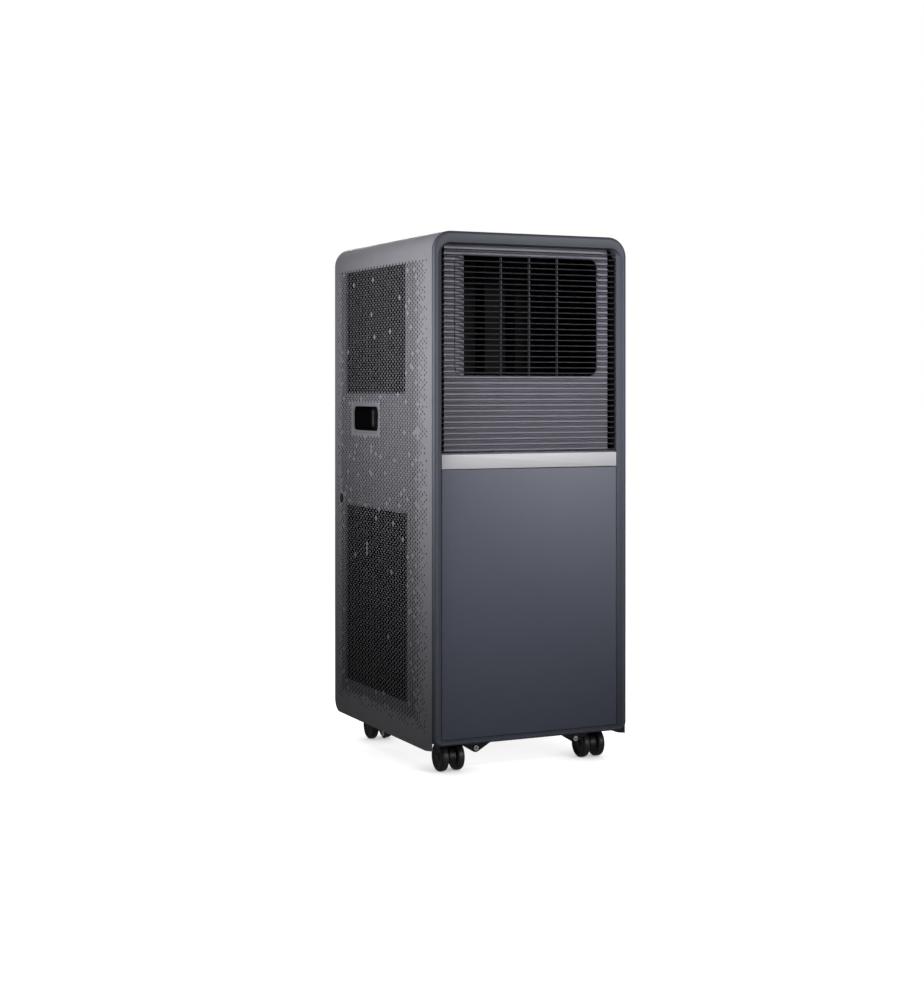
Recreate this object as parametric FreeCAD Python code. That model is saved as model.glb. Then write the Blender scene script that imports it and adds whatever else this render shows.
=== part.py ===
import FreeCAD, Part
import math
import os

# Portable air conditioner on four twin-wheel casters.
# Millimetres. +Z up, the front faces -Y, X across the front.
# Origin: on the floor, under the middle of the cabinet.

Vector = FreeCAD.Vector

# ------------------------------------------------------------ driving sizes
WIDTH = 306.0
DEPTH = 372.0
WALL_HEIGHT = 720.0
WALL_FOOT = 31.0          # floor to the foot plane that the heights are measured from
SHEET_FOOT = WALL_FOOT + 2.4
TOP_RADIUS = 28.0
FOOT_RADIUS = 12.0
HEEL_RADIUS = 19.0        # lower rear corners of the sides
SHEET = 1.6               # cabinet sheet
SEAM = 5.4                # front face back to the front edge of the cabinet sheet
JAMB = 14.2               # width of the bezel's uprights
TOP_RAIL = 17.0
COVER = 3.0               # thickness of the front panel and of the silver strip
SETBACK = 4.8             # bezel's crown back to the front panel and the silver strip
CROWN = 7.0               # outer edge of the bezel to where its inner slope starts
FIT_GAP = 0.3             # gap round loose covers and keys

SIDE = WIDTH / 2
FRONT = -DEPTH / 2
REAR = DEPTH / 2
TOP = WALL_FOOT + WALL_HEIGHT
INSIDE = SIDE - SHEET
INSIDE_TOP = TOP - SHEET
INSIDE_RADIUS = TOP_RADIUS - SHEET

# Heights of the front's fields
BEZEL_FOOT = WALL_FOOT + 11.0
PANEL_FOOT = WALL_FOOT + 18.4
STRIP_FOOT = WALL_FOOT + 391.0
STRIP_TOP = WALL_FOOT + 412.0
GRILLE_TOP = TOP - TOP_RAIL
FIELD = SIDE - JAMB       # half width of panel, strip and grille
FIELD_RADIUS = 12.5
BEZEL_DEPTH = 20.0
BEZEL_REAR = FRONT + BEZEL_DEPTH
COVER_Y = (FRONT + SETBACK, FRONT + SETBACK + COVER)

# Grille and the wall behind it
SLATS = 37
SLAT_PITCH = 7.76
SLAT_THICK = 1.5
SLAT_DEPTH = 6.0
SLAT_FRONT = FRONT + 5.4
LOWEST_SLAT = WALL_FOOT + 417.9
GRILLE_HALF = FIELD - 1.6
RIB_SPACING = 44.5
BACKING = FRONT + 16.0    # front face of the wall behind the slats
BACKING_THICK = 1.6
BACKING_HALF = FIELD - 9.0

# Air outlet and its upright vanes
OUTLET_HALF = 112.5
OUTLET_FOOT = WALL_FOOT + 520.6
OUTLET_TOP = WALL_FOOT + 688.9
OUTLET_RADIUS = 13.0
OUTLET_FLARE = 21.0       # rounded shoulder on the outlet's left
DUCT_WALL = 3.0
DUCT_REAR = -118.0
VANES = 4
VANE_SPACING = 48.0
VANE_AXIS_Y = -143.0
VANE_REACH = 15.0         # axis to either edge of the blade
LINK_REACH = 12.0         # vane axis back to the link pin
VANE_FOOT = OUTLET_FOOT + 6.4
VANE_TOP = OUTLET_TOP - 4.9

# Handles and the round plug on the sides
HANDLE_Y = (13.0, 106.0)
HANDLE_Z = (WALL_FOOT + 440.5, WALL_FOOT + 475.8)
HANDLE_RIM = 5.0
HANDLE_DEPTH = 31.5
HANDLE_RADIUS = 8.0
PLUG_Y = 157.0
PLUG_Z = WALL_FOOT + 334.0
PLUG_RADIUS = 7.25

# Base and casters
PAN_FLOOR = WALL_FOOT + 12.0
PAN_THICK = 3.0
PAN_TOP = PAN_FLOOR + PAN_THICK
PAN_RIM = 25.0
CASTER_X = 112.0
CASTER_Y = 127.0
CASTER_TRAIL = 18.0       # swivel axis forward to the wheel axle
WHEEL_RADIUS = 20.0
WHEEL_WIDTH = 11.0
WHEEL_SPACING = 24.0
AXLE_RADIUS = 2.5
STEM_RADIUS = 4.5
RUNNING = 0.05            # radial clearance of shafts in their holes

# Rear
REAR_PANEL = REAR - 15.0  # outer face of the rear panel
REAR_THICK = 3.0
FLANGE = 10.0             # cabinet flange that the rear panel is screwed to
EXHAUST_Z = WALL_FOOT + 252.0
EXHAUST_RADIUS = 75.0
EXHAUST_WALL = 3.0
EXHAUST_REAR = REAR - 0.5

# Deck between the cold and the warm compartment
DECK = WALL_FOOT + 340.0
DECK_THICK = 2.5
DECK_TOP = DECK + DECK_THICK

# Filters behind the perforated zones of the sides
FILTER_THICK = 5.0
FILTER_OUTER = INSIDE - 1.0
FILTER_Y = (-98.0, 142.0)
UPPER_FILTER_Z = (WALL_FOOT + 490.0, WALL_FOOT + 686.0)
LOWER_FILTER_Z = (WALL_FOOT + 55.0, WALL_FOOT + 324.0)

# Control fascia on top
FASCIA_X = (-100.0, 100.0)
FASCIA_Y = (-152.0, -68.0)
FASCIA_TOP = TOP - 1.0
FASCIA_FOOT = TOP - 16.0
KEY_X = (-70.0, -35.0, 0.0, 35.0, 70.0)
KEY_NAMES = ("key_power", "key_mode", "key_fan", "key_down", "key_up")
KEY_SIZE = (24.0, 12.0)
KEY_Y = -92.0
KEY_TOP = TOP - 0.2
KEY_HEIGHT = 6.0
LENS_X = (-45.0, 45.0)
LENS_Y = (-142.0, -118.0)
LENS_THICK = 1.5


# ------------------------------------------------------------ small helpers
def block(x, y, z):
    """Box between the (low, high) pairs of each axis."""
    return Part.makeBox(x[1] - x[0], y[1] - y[0], z[1] - z[0], Vector(x[0], y[0], z[0]))


def around(middle, half):
    """The (low, high) pair of a span centred on middle."""
    return (middle - half, middle + half)


def rod(axis, start, length, radius):
    """Cylinder from start along +X, +Y or +Z."""
    directions = {"X": Vector(1, 0, 0), "Y": Vector(0, 1, 0), "Z": Vector(0, 0, 1)}
    return Part.makeCylinder(radius, length, Vector(*start), directions[axis])


def edges_along(shape, axis, keep=lambda centre: True):
    """Straight edges parallel to an axis whose middle point passes the test."""
    number = "XYZ".index(axis)
    found = []
    for edge in shape.Edges:
        span = edge.Vertexes[-1].Point - edge.Vertexes[0].Point
        if span.Length > 1e-6 and abs(span[number]) > 0.999 * span.Length:
            middle = (edge.Vertexes[-1].Point + edge.Vertexes[0].Point) * 0.5
            if keep(middle):
                found.append(edge)
    return found


def slab(x, y, z, foot_radius=0.0, top_radius=0.0):
    """Box whose edges along Y are rounded, with one radius below and one above."""
    shape = block(x, y, z)
    middle = (z[0] + z[1]) / 2
    if foot_radius:
        shape = shape.makeFillet(foot_radius, edges_along(shape, "Y", lambda p: p.z < middle))
    if top_radius:
        shape = shape.makeFillet(top_radius, edges_along(shape, "Y", lambda p: p.z > middle))
    return shape


def rounded(x, y, z, radius, axis):
    """Box with all four edges along one axis rounded."""
    shape = block(x, y, z)
    return shape.makeFillet(radius, edges_along(shape, axis))


def joined(shapes):
    """One solid from touching or overlapping solids."""
    shape = shapes[0].multiFuse(shapes[1:]) if len(shapes) > 1 else shapes[0]
    return shape.removeSplitter()


def mirrored(shape):
    """The same shape on the other side of the cabinet."""
    return shape.mirror(Vector(0, 0, 0), Vector(1, 0, 0))


def turned(shape, pivot, axis, degrees):
    copy = shape.copy()
    copy.rotate(Vector(*pivot), Vector(*axis), degrees)
    return copy


def pipe(points, radius, bend):
    """Round bar along straight runs joined by tangent arcs of one bend radius."""
    corners = [Vector(*point) for point in points]
    edges = []
    here = corners[0]
    for before, corner, after in zip(corners, corners[1:], corners[2:]):
        inward = (before - corner).normalize()
        outward = (after - corner).normalize()
        half_angle = inward.getAngle(outward) / 2
        setback = bend / math.tan(half_angle)
        start = corner + inward * setback
        end = corner + outward * setback
        bisector = (inward + outward).normalize()
        centre = corner + bisector * (bend / math.sin(half_angle))
        middle = centre - bisector * bend
        if (start - here).Length > 1e-6:
            edges.append(Part.LineSegment(here, start).toShape())
        edges.append(Part.Arc(start, middle, end).toShape())
        here = end
    if (corners[-1] - here).Length > 1e-6:
        edges.append(Part.LineSegment(here, corners[-1]).toShape())
    section = Part.Wire(Part.makeCircle(radius, corners[0], corners[1] - corners[0]))
    return Part.Wire(edges).makePipeShell([section], True, True)


# ------------------------------------------------------------ cabinet and front
def filter_slots():
    """Spaces at the rear that the four filters slide through."""
    slots = []
    for low, high in (UPPER_FILTER_Z, LOWER_FILTER_Z):
        slot = block((FILTER_OUTER - FILTER_THICK - 1.0, INSIDE), (150.0, REAR + 1.0), (low - 1.0, high + 1.0))
        slots += [slot, mirrored(slot)]
    return slots


def cabinet_wrap():
    """Sheet bent over the top and down both sides, with a flange inside its rear edge."""
    length = (FRONT + SEAM, REAR)
    through = (length[0] - 1.0, length[1] + 1.0)
    outer = slab((-SIDE, SIDE), length, (SHEET_FOOT, TOP), 0.0, TOP_RADIUS)
    inner = slab((-INSIDE, INSIDE), through, (SHEET_FOOT - 1.0, INSIDE_TOP), 0.0, INSIDE_RADIUS)
    flange_y = (REAR_PANEL - REAR_THICK - 3.0, REAR_PANEL - REAR_THICK)
    flange = slab((-INSIDE, INSIDE), flange_y, (SHEET_FOOT, INSIDE_TOP), 0.0, INSIDE_RADIUS)
    window = slab(around(0, INSIDE - FLANGE), through, (SHEET_FOOT - 1.0, INSIDE_TOP - FLANGE), 0.0,
                  INSIDE_RADIUS - FLANGE)
    shape = joined([outer.cut(inner), flange.cut(window)])

    handle = rounded((INSIDE - 1.0, SIDE + 1.0), (HANDLE_Y[0] - HANDLE_RIM, HANDLE_Y[1] + HANDLE_RIM),
                     (HANDLE_Z[0] - HANDLE_RIM, HANDLE_Z[1] + HANDLE_RIM), HANDLE_RADIUS + HANDLE_RIM, "X")
    fascia = block(FASCIA_X, FASCIA_Y, (INSIDE_TOP - 1.0, TOP + 1.0))
    plug = rod("X", (-SIDE - 1.0, PLUG_Y, PLUG_Z), SHEET + 2.0, PLUG_RADIUS + FIT_GAP)
    for opening in [handle, mirrored(handle), fascia, plug] + filter_slots():
        shape = shape.cut(opening)

    # The lower edge rises by 3 mm over the last 21 mm towards the front.
    rise = [(length[0] - 1.0, SHEET_FOOT - 1.0), (length[0] + 21.0, SHEET_FOOT - 1.0),
            (length[0] + 21.0, SHEET_FOOT), (length[0] - 1.0, SHEET_FOOT + 3.0)]
    shape = shape.cut(prism_x(rise, (-SIDE - 1.0, SIDE + 1.0)))

    # The lower rear corners of both sides are rounded.
    heel = block((-SIDE - 1.0, SIDE + 1.0), (REAR - HEEL_RADIUS, REAR + 1.0),
                 (SHEET_FOOT - 1.0, SHEET_FOOT + HEEL_RADIUS))
    return shape.cut(heel.cut(rod("X", (-SIDE - 2.0, REAR - HEEL_RADIUS, SHEET_FOOT + HEEL_RADIUS),
                                  WIDTH + 4.0, HEEL_RADIUS)))


def prism_x(outline, x):
    """Prism along X of a closed (y, z) outline."""
    points = [Vector(x[0], y, z) for y, z in outline]
    face = Part.Face(Part.makePolygon(points + points[:1]))
    return face.extrude(Vector(x[1] - x[0], 0, 0))


def prism_y(outline, y):
    """Prism along Y of a closed (x, z) outline."""
    points = [Vector(x, y[0], z) for x, z in outline]
    face = Part.Face(Part.makePolygon(points + points[:1]))
    return face.extrude(Vector(0, y[1] - y[0], 0))


def field_wire(y, rise):
    """Outline of the fields in front, grown as the bezel's slopes rise above the covers."""
    across = rise / SETBACK * (JAMB - CROWN)
    below = rise / SETBACK * 4.0
    above = rise / SETBACK * 1.0
    x, z0, z1 = FIELD + across, PANEL_FOOT - below, GRILLE_TOP + above
    r = FIELD_RADIUS + across
    k = r * (1 - math.sqrt(0.5))
    corners = [Vector(-x, y, z0), Vector(x, y, z0), Vector(x, y, z1 - r), Vector(x - k, y, z1 - k),
               Vector(x - r, y, z1), Vector(r - x, y, z1), Vector(k - x, y, z1 - k), Vector(-x, y, z1 - r)]
    line = Part.LineSegment
    edges = [line(corners[0], corners[1]), line(corners[1], corners[2]),
             Part.Arc(corners[2], corners[3], corners[4]), line(corners[4], corners[5]),
             Part.Arc(corners[5], corners[6], corners[7]), line(corners[7], corners[0])]
    return Part.Wire([edge.toShape() for edge in edges])


def front_bezel():
    """Picture frame: a lip over the sheet's front edge, a body inside the sheet and slopes down to the covers."""
    lip_y = (FRONT, FRONT + SEAM - FIT_GAP)
    lip = slab((-SIDE, SIDE), lip_y, (BEZEL_FOOT, TOP), FOOT_RADIUS, TOP_RADIUS)
    front_edges = [edge for edge in lip.Edges if abs(edge.BoundBox.YMax - FRONT) < 1e-6]
    lip = lip.makeFillet(SEAM - FIT_GAP - 0.3, front_edges)
    body = slab(around(0, INSIDE - 0.2), (lip_y[1], BEZEL_REAR), (BEZEL_FOOT, INSIDE_TOP - 0.2),
                FOOT_RADIUS, INSIDE_RADIUS - 0.2)
    frame = joined([lip, body])

    through = (FRONT - 1.0, BEZEL_REAR + 1.0)
    slope = Part.makeLoft([field_wire(FRONT - 0.6, SETBACK + 0.6), field_wire(FRONT + SETBACK, 0.0)], True, True)
    recess = slab((-FIELD, FIELD), (through[0], FRONT + SETBACK + COVER), (PANEL_FOOT, GRILLE_TOP), 0.0,
                  FIELD_RADIUS)
    grille_window = slab((-FIELD, FIELD), through, (STRIP_TOP + 2.0, GRILLE_TOP), 0.0, FIELD_RADIUS)
    panel_window = block(around(0, FIELD - 8.0), through, (PANEL_FOOT + 8.0, STRIP_FOOT - 8.0))
    return frame.cut(slope).cut(recess).cut(grille_window).cut(panel_window)


def front_panel():
    """Flat cover with four clip posts that reach past the ledge behind it."""
    plate = block(around(0, FIELD - FIT_GAP), COVER_Y, (PANEL_FOOT + FIT_GAP, STRIP_FOOT - FIT_GAP))
    posts = []
    for x in (-(FIELD - 12.0), FIELD - 12.0):
        for z in (PANEL_FOOT + 40.0, STRIP_FOOT - 40.0):
            posts.append(block(around(x, 3.0), (COVER_Y[1], COVER_Y[1] + 9.0), around(z, 6.0)))
    return joined([plate] + posts)


def trim_strip():
    return block(around(0, FIELD - FIT_GAP), COVER_Y, (STRIP_FOOT + FIT_GAP, STRIP_TOP - FIT_GAP))


def front_grille():
    """Thin slats on two end rails, with three ribs across the air outlet."""
    slats = []
    for number in range(SLATS):
        z = LOWEST_SLAT + number * SLAT_PITCH
        half = GRILLE_HALF if number < SLATS - 1 else GRILLE_HALF - 2.6
        slats.append(block((-half, half), (SLAT_FRONT, SLAT_FRONT + SLAT_DEPTH), around(z, SLAT_THICK / 2)))
    rails = []
    rail_y = (SLAT_FRONT + 4.6, BACKING)
    for side in (-1, 1):
        rails.append(block(around(side * (GRILLE_HALF - 2.1), 2.1), rail_y, (STRIP_TOP + 3.0, GRILLE_TOP - 12.0)))
        rails.append(block(around(side * (GRILLE_HALF - 4.7), 2.1), rail_y, (GRILLE_TOP - 14.0, GRILLE_TOP - 5.0)))
    for x in (-RIB_SPACING, 0.0, RIB_SPACING):
        rails.append(block(around(x, 1.0), (SLAT_FRONT + 4.6, BACKING - 2.0), (OUTLET_FOOT, OUTLET_TOP)))
    tabs = []
    for x in ((-FIELD, -GRILLE_HALF + 1.0), (GRILLE_HALF - 1.0, FIELD)):
        for z in (STRIP_TOP + 12.0, (STRIP_TOP + GRILLE_TOP) / 2, GRILLE_TOP - 24.0):
            tabs.append(block(x, (BACKING - 3.0, BACKING), around(z, 4.0)))
    return joined(slats + rails + tabs)


def grille_backing():
    """Wall behind the slats with stepped back ends and the rounded air outlet cut in it."""
    y = (BACKING, BACKING + BACKING_THICK)
    height = (STRIP_TOP + 2.5, GRILLE_TOP - FIT_GAP)
    plate = slab(around(0, BACKING_HALF), y, height, 0.0, 4.0)
    wings = slab(around(0, FIELD - FIT_GAP), (y[1] + 3.4, y[1] + 5.0), height, 0.0, FIELD_RADIUS)
    wings = wings.cut(block(around(0, BACKING_HALF - BACKING_THICK), (y[1], y[1] + 9.0), (height[0] - 1.0, TOP)))
    step = block((-BACKING_HALF, -BACKING_HALF + BACKING_THICK), (y[0], y[1] + 5.0), (height[0], height[1] - 5.0))
    plate = joined([plate, wings, step, mirrored(step)])
    outlet = rounded(around(0, OUTLET_HALF), (y[0] - 1.0, y[1] + 1.0), (OUTLET_FOOT, OUTLET_TOP),
                     OUTLET_RADIUS, "Y")
    return plate.cut(outlet)


# ------------------------------------------------------------ air outlet
def vane_x(number):
    """Axis of an upright vane, counted from the left."""
    middle = OUTLET_FLARE / 2
    return middle + (number - (VANES - 1) / 2) * VANE_SPACING


def outlet_duct():
    """Box behind the outlet, rounded into the air path on its left side."""
    y = (BACKING + BACKING_THICK, DUCT_REAR)
    outer = block(around(0, OUTLET_HALF + DUCT_WALL), y, (OUTLET_FOOT - DUCT_WALL, OUTLET_TOP + DUCT_WALL))
    inner = rounded(around(0, OUTLET_HALF), (y[0] - 1.0, y[1] + 1.0), (OUTLET_FOOT, OUTLET_TOP),
                    OUTLET_RADIUS, "Y")
    duct = outer.cut(inner)
    shoulder = block((-OUTLET_HALF - 1.0, -OUTLET_HALF + OUTLET_FLARE), y, (OUTLET_FOOT - 1.0, OUTLET_TOP + 1.0))
    corner = edges_along(shoulder, "Z", lambda p: p.x > -OUTLET_HALF and p.y < y[0] + 1.0)
    duct = joined([duct, shoulder.makeFillet(OUTLET_FLARE - 1.0, corner)])
    for number in range(VANES):
        low = (vane_x(number), VANE_AXIS_Y, OUTLET_FOOT - DUCT_WALL - 1.0)
        high = (vane_x(number), VANE_AXIS_Y, OUTLET_TOP - 1.0)
        duct = duct.cut(rod("Z", low, DUCT_WALL + 2.0, 2.0 + RUNNING))
        duct = duct.cut(rod("Z", high, DUCT_WALL + 2.0, 2.0 + RUNNING))
    return duct


def vane(number):
    """Upright blade with a pivot pin at each end and a link pin near its rear edge."""
    x = vane_x(number)
    blade = rounded(around(x, 0.9), around(VANE_AXIS_Y, VANE_REACH), (VANE_FOOT, VANE_TOP), 0.8, "Z")
    pivot_foot = OUTLET_FOOT - DUCT_WALL + 0.5
    motor_reach = 6.0 if number == 0 else -0.5
    pivot_top = OUTLET_TOP + DUCT_WALL + motor_reach
    lower = rod("Z", (x, VANE_AXIS_Y, pivot_foot), VANE_FOOT - pivot_foot, 2.0)
    upper = rod("Z", (x, VANE_AXIS_Y, VANE_TOP), pivot_top - VANE_TOP, 2.0)
    link_pin = rod("Z", (x, VANE_AXIS_Y + LINK_REACH, OUTLET_FOOT + 1.2), VANE_FOOT - OUTLET_FOOT - 1.2, 1.5)
    return joined([blade, lower, upper, link_pin])


def vane_link():
    """Flat bar under the vanes that ties their link pins together."""
    y = VANE_AXIS_Y + LINK_REACH
    z = (OUTLET_FOOT + 2.0, OUTLET_FOOT + 4.4)
    bar = rounded((vane_x(0) - 4.0, vane_x(VANES - 1) + 4.0), around(y, 3.0), z, 2.5, "Z")
    for number in range(VANES):
        bar = bar.cut(rod("Z", (vane_x(number), y, z[0] - 1.0), z[1] - z[0] + 2.0, 1.5 + RUNNING))
    return bar


def vane_motor():
    """Small geared motor on the duct, over the first vane."""
    foot = OUTLET_TOP + DUCT_WALL
    body = rod("Z", (vane_x(0), VANE_AXIS_Y, foot), 8.5, 12.0)
    ears = block(around(vane_x(0), 17.0), around(VANE_AXIS_Y, 3.5), (foot, foot + 1.5))
    return joined([body, ears]).cut(rod("Z", (vane_x(0), VANE_AXIS_Y, foot - 1.0), 7.5, 2.0 + RUNNING))


# ------------------------------------------------------------ sides
def handle_cup():
    """Flush rim and a pocket whose front wall is scooped towards the fingers (left side)."""
    rim = rounded((-SIDE, -INSIDE), (HANDLE_Y[0] - HANDLE_RIM + FIT_GAP, HANDLE_Y[1] + HANDLE_RIM - FIT_GAP),
                  (HANDLE_Z[0] - HANDLE_RIM + FIT_GAP, HANDLE_Z[1] + HANDLE_RIM - FIT_GAP),
                  HANDLE_RADIUS + HANDLE_RIM - FIT_GAP, "X")
    cup = rounded((-INSIDE, -SIDE + HANDLE_DEPTH + 2.5), (HANDLE_Y[0] - 2.5, HANDLE_Y[1] + 2.5),
                  (HANDLE_Z[0] - 2.5, HANDLE_Z[1] + 2.5), HANDLE_RADIUS + 2.0, "X")
    pocket = rounded((-SIDE - 1.0, -SIDE + HANDLE_DEPTH), HANDLE_Y, HANDLE_Z, HANDLE_RADIUS, "X")
    shape = joined([rim, cup]).cut(pocket)
    # The scoop fills the corner between the front wall and the floor of the pocket.
    scoop_radius = HANDLE_DEPTH - 3.0
    x = -SIDE + HANDLE_DEPTH
    corner = block((x - scoop_radius, x + 0.5), (HANDLE_Y[0] - 0.5, HANDLE_Y[0] + scoop_radius),
                   (HANDLE_Z[0] - 0.5, HANDLE_Z[1] + 0.5))
    hollow = rod("Z", (x - scoop_radius, HANDLE_Y[0] + scoop_radius, HANDLE_Z[0] - 1.0),
                 HANDLE_Z[1] - HANDLE_Z[0] + 2.0, scoop_radius)
    return joined([shape, corner.cut(hollow)])


def side_drain_plug():
    """Round plug, flush with the left side, whose shank seals the deck's drain spout."""
    head = rod("X", (-SIDE + 0.2, PLUG_Y, PLUG_Z), SHEET - 0.4, PLUG_RADIUS)
    shank = rod("X", (-SIDE + SHEET - 0.2, PLUG_Y, PLUG_Z), 14.0, 5.0)
    return joined([head, shank])


def mid_deck():
    """Deck with a drip tray round the cold coil and a drain spout to the left side."""
    plate = block((-INSIDE, INSIDE), (-164.0, 164.0), (DECK, DECK_TOP))
    tray_outer = block((-133.0, 133.0), (-35.0, 7.0), (DECK_TOP, DECK_TOP + 12.0))
    tray_inner = block((-131.0, 131.0), (-33.0, 5.0), (DECK_TOP, DECK_TOP + 12.0))
    spout = rod("X", (-INSIDE, PLUG_Y, PLUG_Z), 24.0, 8.0)
    neck = block((-INSIDE + 12.0, -INSIDE + 24.0), around(PLUG_Y, 5.0), (PLUG_Z, DECK + 1.0))
    shape = joined([plate, tray_outer.cut(tray_inner), spout, neck])
    shape = shape.cut(rod("X", (-INSIDE - 1.0, PLUG_Y, PLUG_Z), 22.0, 5.0 + RUNNING))
    shape = shape.cut(rod("Z", (-INSIDE + 18.0, PLUG_Y, PLUG_Z), 20.0, 3.0))
    for x, y in ((SUCTION_X, SUCTION_Y), (LIQUID_X, LIQUID_Y)):
        shape = shape.cut(rod("Z", (x, y, DECK - 1.0), DECK_THICK + 2.0, 7.0))
    return shape


def filter_rails():
    """Channels along the cabinet walls that hold the filters' upper and lower edges."""
    rails = []
    inner = FILTER_OUTER - FILTER_THICK - 3.0
    for low, high in (UPPER_FILTER_Z, LOWER_FILTER_Z):
        for edge, outward in ((low, -1.0), (high, 1.0)):
            reach = sorted((edge - outward * 3.0, edge + outward * 1.5))
            channel = block((inner, INSIDE), (FILTER_Y[0] - 4.0, 146.0), reach)
            groove_z = sorted((edge - outward * 4.0, edge + outward * 0.4))
            groove = block((inner + 2.6, FILTER_OUTER + 0.4), (FILTER_Y[0] - 0.5, 147.0), groove_z)
            channel = channel.cut(groove)
            rails += [channel, mirrored(channel)]
    return Part.makeCompound(rails)


def air_filter(z_span):
    """Ribbed frame round a thin screen, with a pull tab at the rear (right side)."""
    x = (FILTER_OUTER - FILTER_THICK, FILTER_OUTER)
    middle = (x[0] + x[1]) / 2
    frame = block(x, FILTER_Y, z_span)
    window_height = z_span[1] - z_span[0] - 16.0
    panes = 3
    pane = (FILTER_Y[1] - FILTER_Y[0] - 16.0 - (panes - 1) * 4.0) / panes
    for number in range(panes):
        start = FILTER_Y[0] + 8.0 + number * (pane + 4.0)
        frame = frame.cut(block((x[0] - 1.0, x[1] + 1.0), (start, start + pane),
                                (z_span[0] + 8.0, z_span[0] + 8.0 + window_height)))
    screen = block(around(middle, 0.5), (FILTER_Y[0] + 2.0, FILTER_Y[1] - 2.0), (z_span[0] + 2.0, z_span[1] - 2.0))
    tab = block(x, (FILTER_Y[1], REAR_PANEL), around((z_span[0] + z_span[1]) / 2, 15.0))
    return joined([frame, screen, tab])


# ------------------------------------------------------------ controls on top
def control_fascia():
    """Shallow tray let into the top, with pockets for the lens and the keys."""
    shape = block((FASCIA_X[0] + FIT_GAP, FASCIA_X[1] - FIT_GAP), (FASCIA_Y[0] + FIT_GAP, FASCIA_Y[1] - FIT_GAP),
                  (FASCIA_FOOT, FASCIA_TOP))
    rim = block((FASCIA_X[0] - 4.0, FASCIA_X[1] + 4.0), (FASCIA_Y[0] - 4.0, FASCIA_Y[1] + 4.0),
                (FASCIA_FOOT, INSIDE_TOP))
    shape = joined([shape, rim])
    shape = shape.cut(block(LENS_X, LENS_Y, (FASCIA_TOP - LENS_THICK, FASCIA_TOP + 1.0)))
    for x in KEY_X:
        pocket = rounded(around(x, KEY_SIZE[0] / 2 + FIT_GAP), around(KEY_Y, KEY_SIZE[1] / 2 + FIT_GAP),
                         (FASCIA_FOOT + 3.0, FASCIA_TOP + 1.0), 2.5 + FIT_GAP, "Z")
        shape = shape.cut(pocket)
    return shape


def display_lens():
    gap = 0.15
    return block((LENS_X[0] + gap, LENS_X[1] - gap), (LENS_Y[0] + gap, LENS_Y[1] - gap),
                 (FASCIA_TOP - LENS_THICK, FASCIA_TOP))


def key(x):
    """Push key with rounded corners and a soft upper edge."""
    shape = rounded(around(x, KEY_SIZE[0] / 2), around(KEY_Y, KEY_SIZE[1] / 2), (KEY_TOP - KEY_HEIGHT, KEY_TOP),
                    2.5, "Z")
    upper = [edge for edge in shape.Edges if abs(edge.BoundBox.ZMin - KEY_TOP) < 1e-6]
    return shape.makeFillet(0.6, upper)


# ------------------------------------------------------------ base and casters
def screw_tab(across, drop):
    """V shaped tab hanging from the base: outline of (across, height) points."""
    half = 32.0
    return [(across - half, PAN_FLOOR + 1.0), (across - 5.0, drop + 1.5), (across - 2.0, drop),
            (across + 2.0, drop), (across + 5.0, drop + 1.5), (across + half, PAN_FLOOR + 1.0)]


TAB_X = 79.0
FRONT_TAB_Y = (BEZEL_REAR, BEZEL_REAR + 2.0)
FRONT_TAB_TIP = WALL_FOOT - 4.5
SIDE_TAB_X = (-149.4, -147.4)
SIDE_TAB_TIP = WALL_FOOT - 9.0


def base_pan():
    """Tray under the machine with caster sockets, a rear drain and four screw tabs."""
    y = (BEZEL_REAR, REAR_PANEL - REAR_THICK - 3.0)
    plate = block((-INSIDE, INSIDE), y, (PAN_FLOOR, PAN_TOP))
    rim = block((-INSIDE, INSIDE), y, (PAN_TOP, PAN_TOP + PAN_RIM))
    hollow = block(around(0, INSIDE - 2.5), (y[0] + 2.5, y[1] - 2.5), (PAN_TOP, PAN_TOP + PAN_RIM))
    parts = [plate, rim.cut(hollow)]
    for x in (-CASTER_X, CASTER_X):
        for y_axis in (-CASTER_Y, CASTER_Y):
            parts.append(rod("Z", (x, y_axis, PAN_FLOOR), 21.0, 11.0))
    for x in (-TAB_X, TAB_X):
        parts.append(prism_y(screw_tab(x, FRONT_TAB_TIP), FRONT_TAB_Y))
    side_tab = prism_x(screw_tab(0.0, SIDE_TAB_TIP), SIDE_TAB_X)
    parts += [side_tab, mirrored(side_tab)]
    parts.append(rod("Y", (DRAIN_X, y[1] - 14.0, DRAIN_Z), REAR_PANEL + 3.0 - y[1] + 14.0, 9.0))
    shape = joined(parts)
    for x in (-CASTER_X, CASTER_X):
        for y_axis in (-CASTER_Y, CASTER_Y):
            shape = shape.cut(rod("Z", (x, y_axis, PAN_FLOOR - 1.0), 23.0, STEM_RADIUS + RUNNING))
    shape = shape.cut(rod("Y", (DRAIN_X, y[1] - 15.0, DRAIN_Z), 40.0, 6.0 + RUNNING))
    for screw in tab_screws():
        shape = shape.cut(screw)
    return shape


def tab_screws():
    """Bright pan-head screws through the four tabs."""
    screws = []
    for x in (-TAB_X, TAB_X):
        z = WALL_FOOT + 1.5
        head = rod("Y", (x, FRONT_TAB_Y[0] - 2.4, z), 2.4, 3.8)
        shank = rod("Y", (x, FRONT_TAB_Y[0], z), 8.0, 2.0)
        screws.append(joined([head, shank]))
    z = WALL_FOOT - 2.0
    head = rod("X", (SIDE_TAB_X[0] - 1.8, 0, z), 1.8, 3.8)
    shank = rod("X", (SIDE_TAB_X[0], 0, z), 8.0, 2.0)
    side = joined([head, shank])
    return screws + [side, mirrored(side)]


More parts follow.
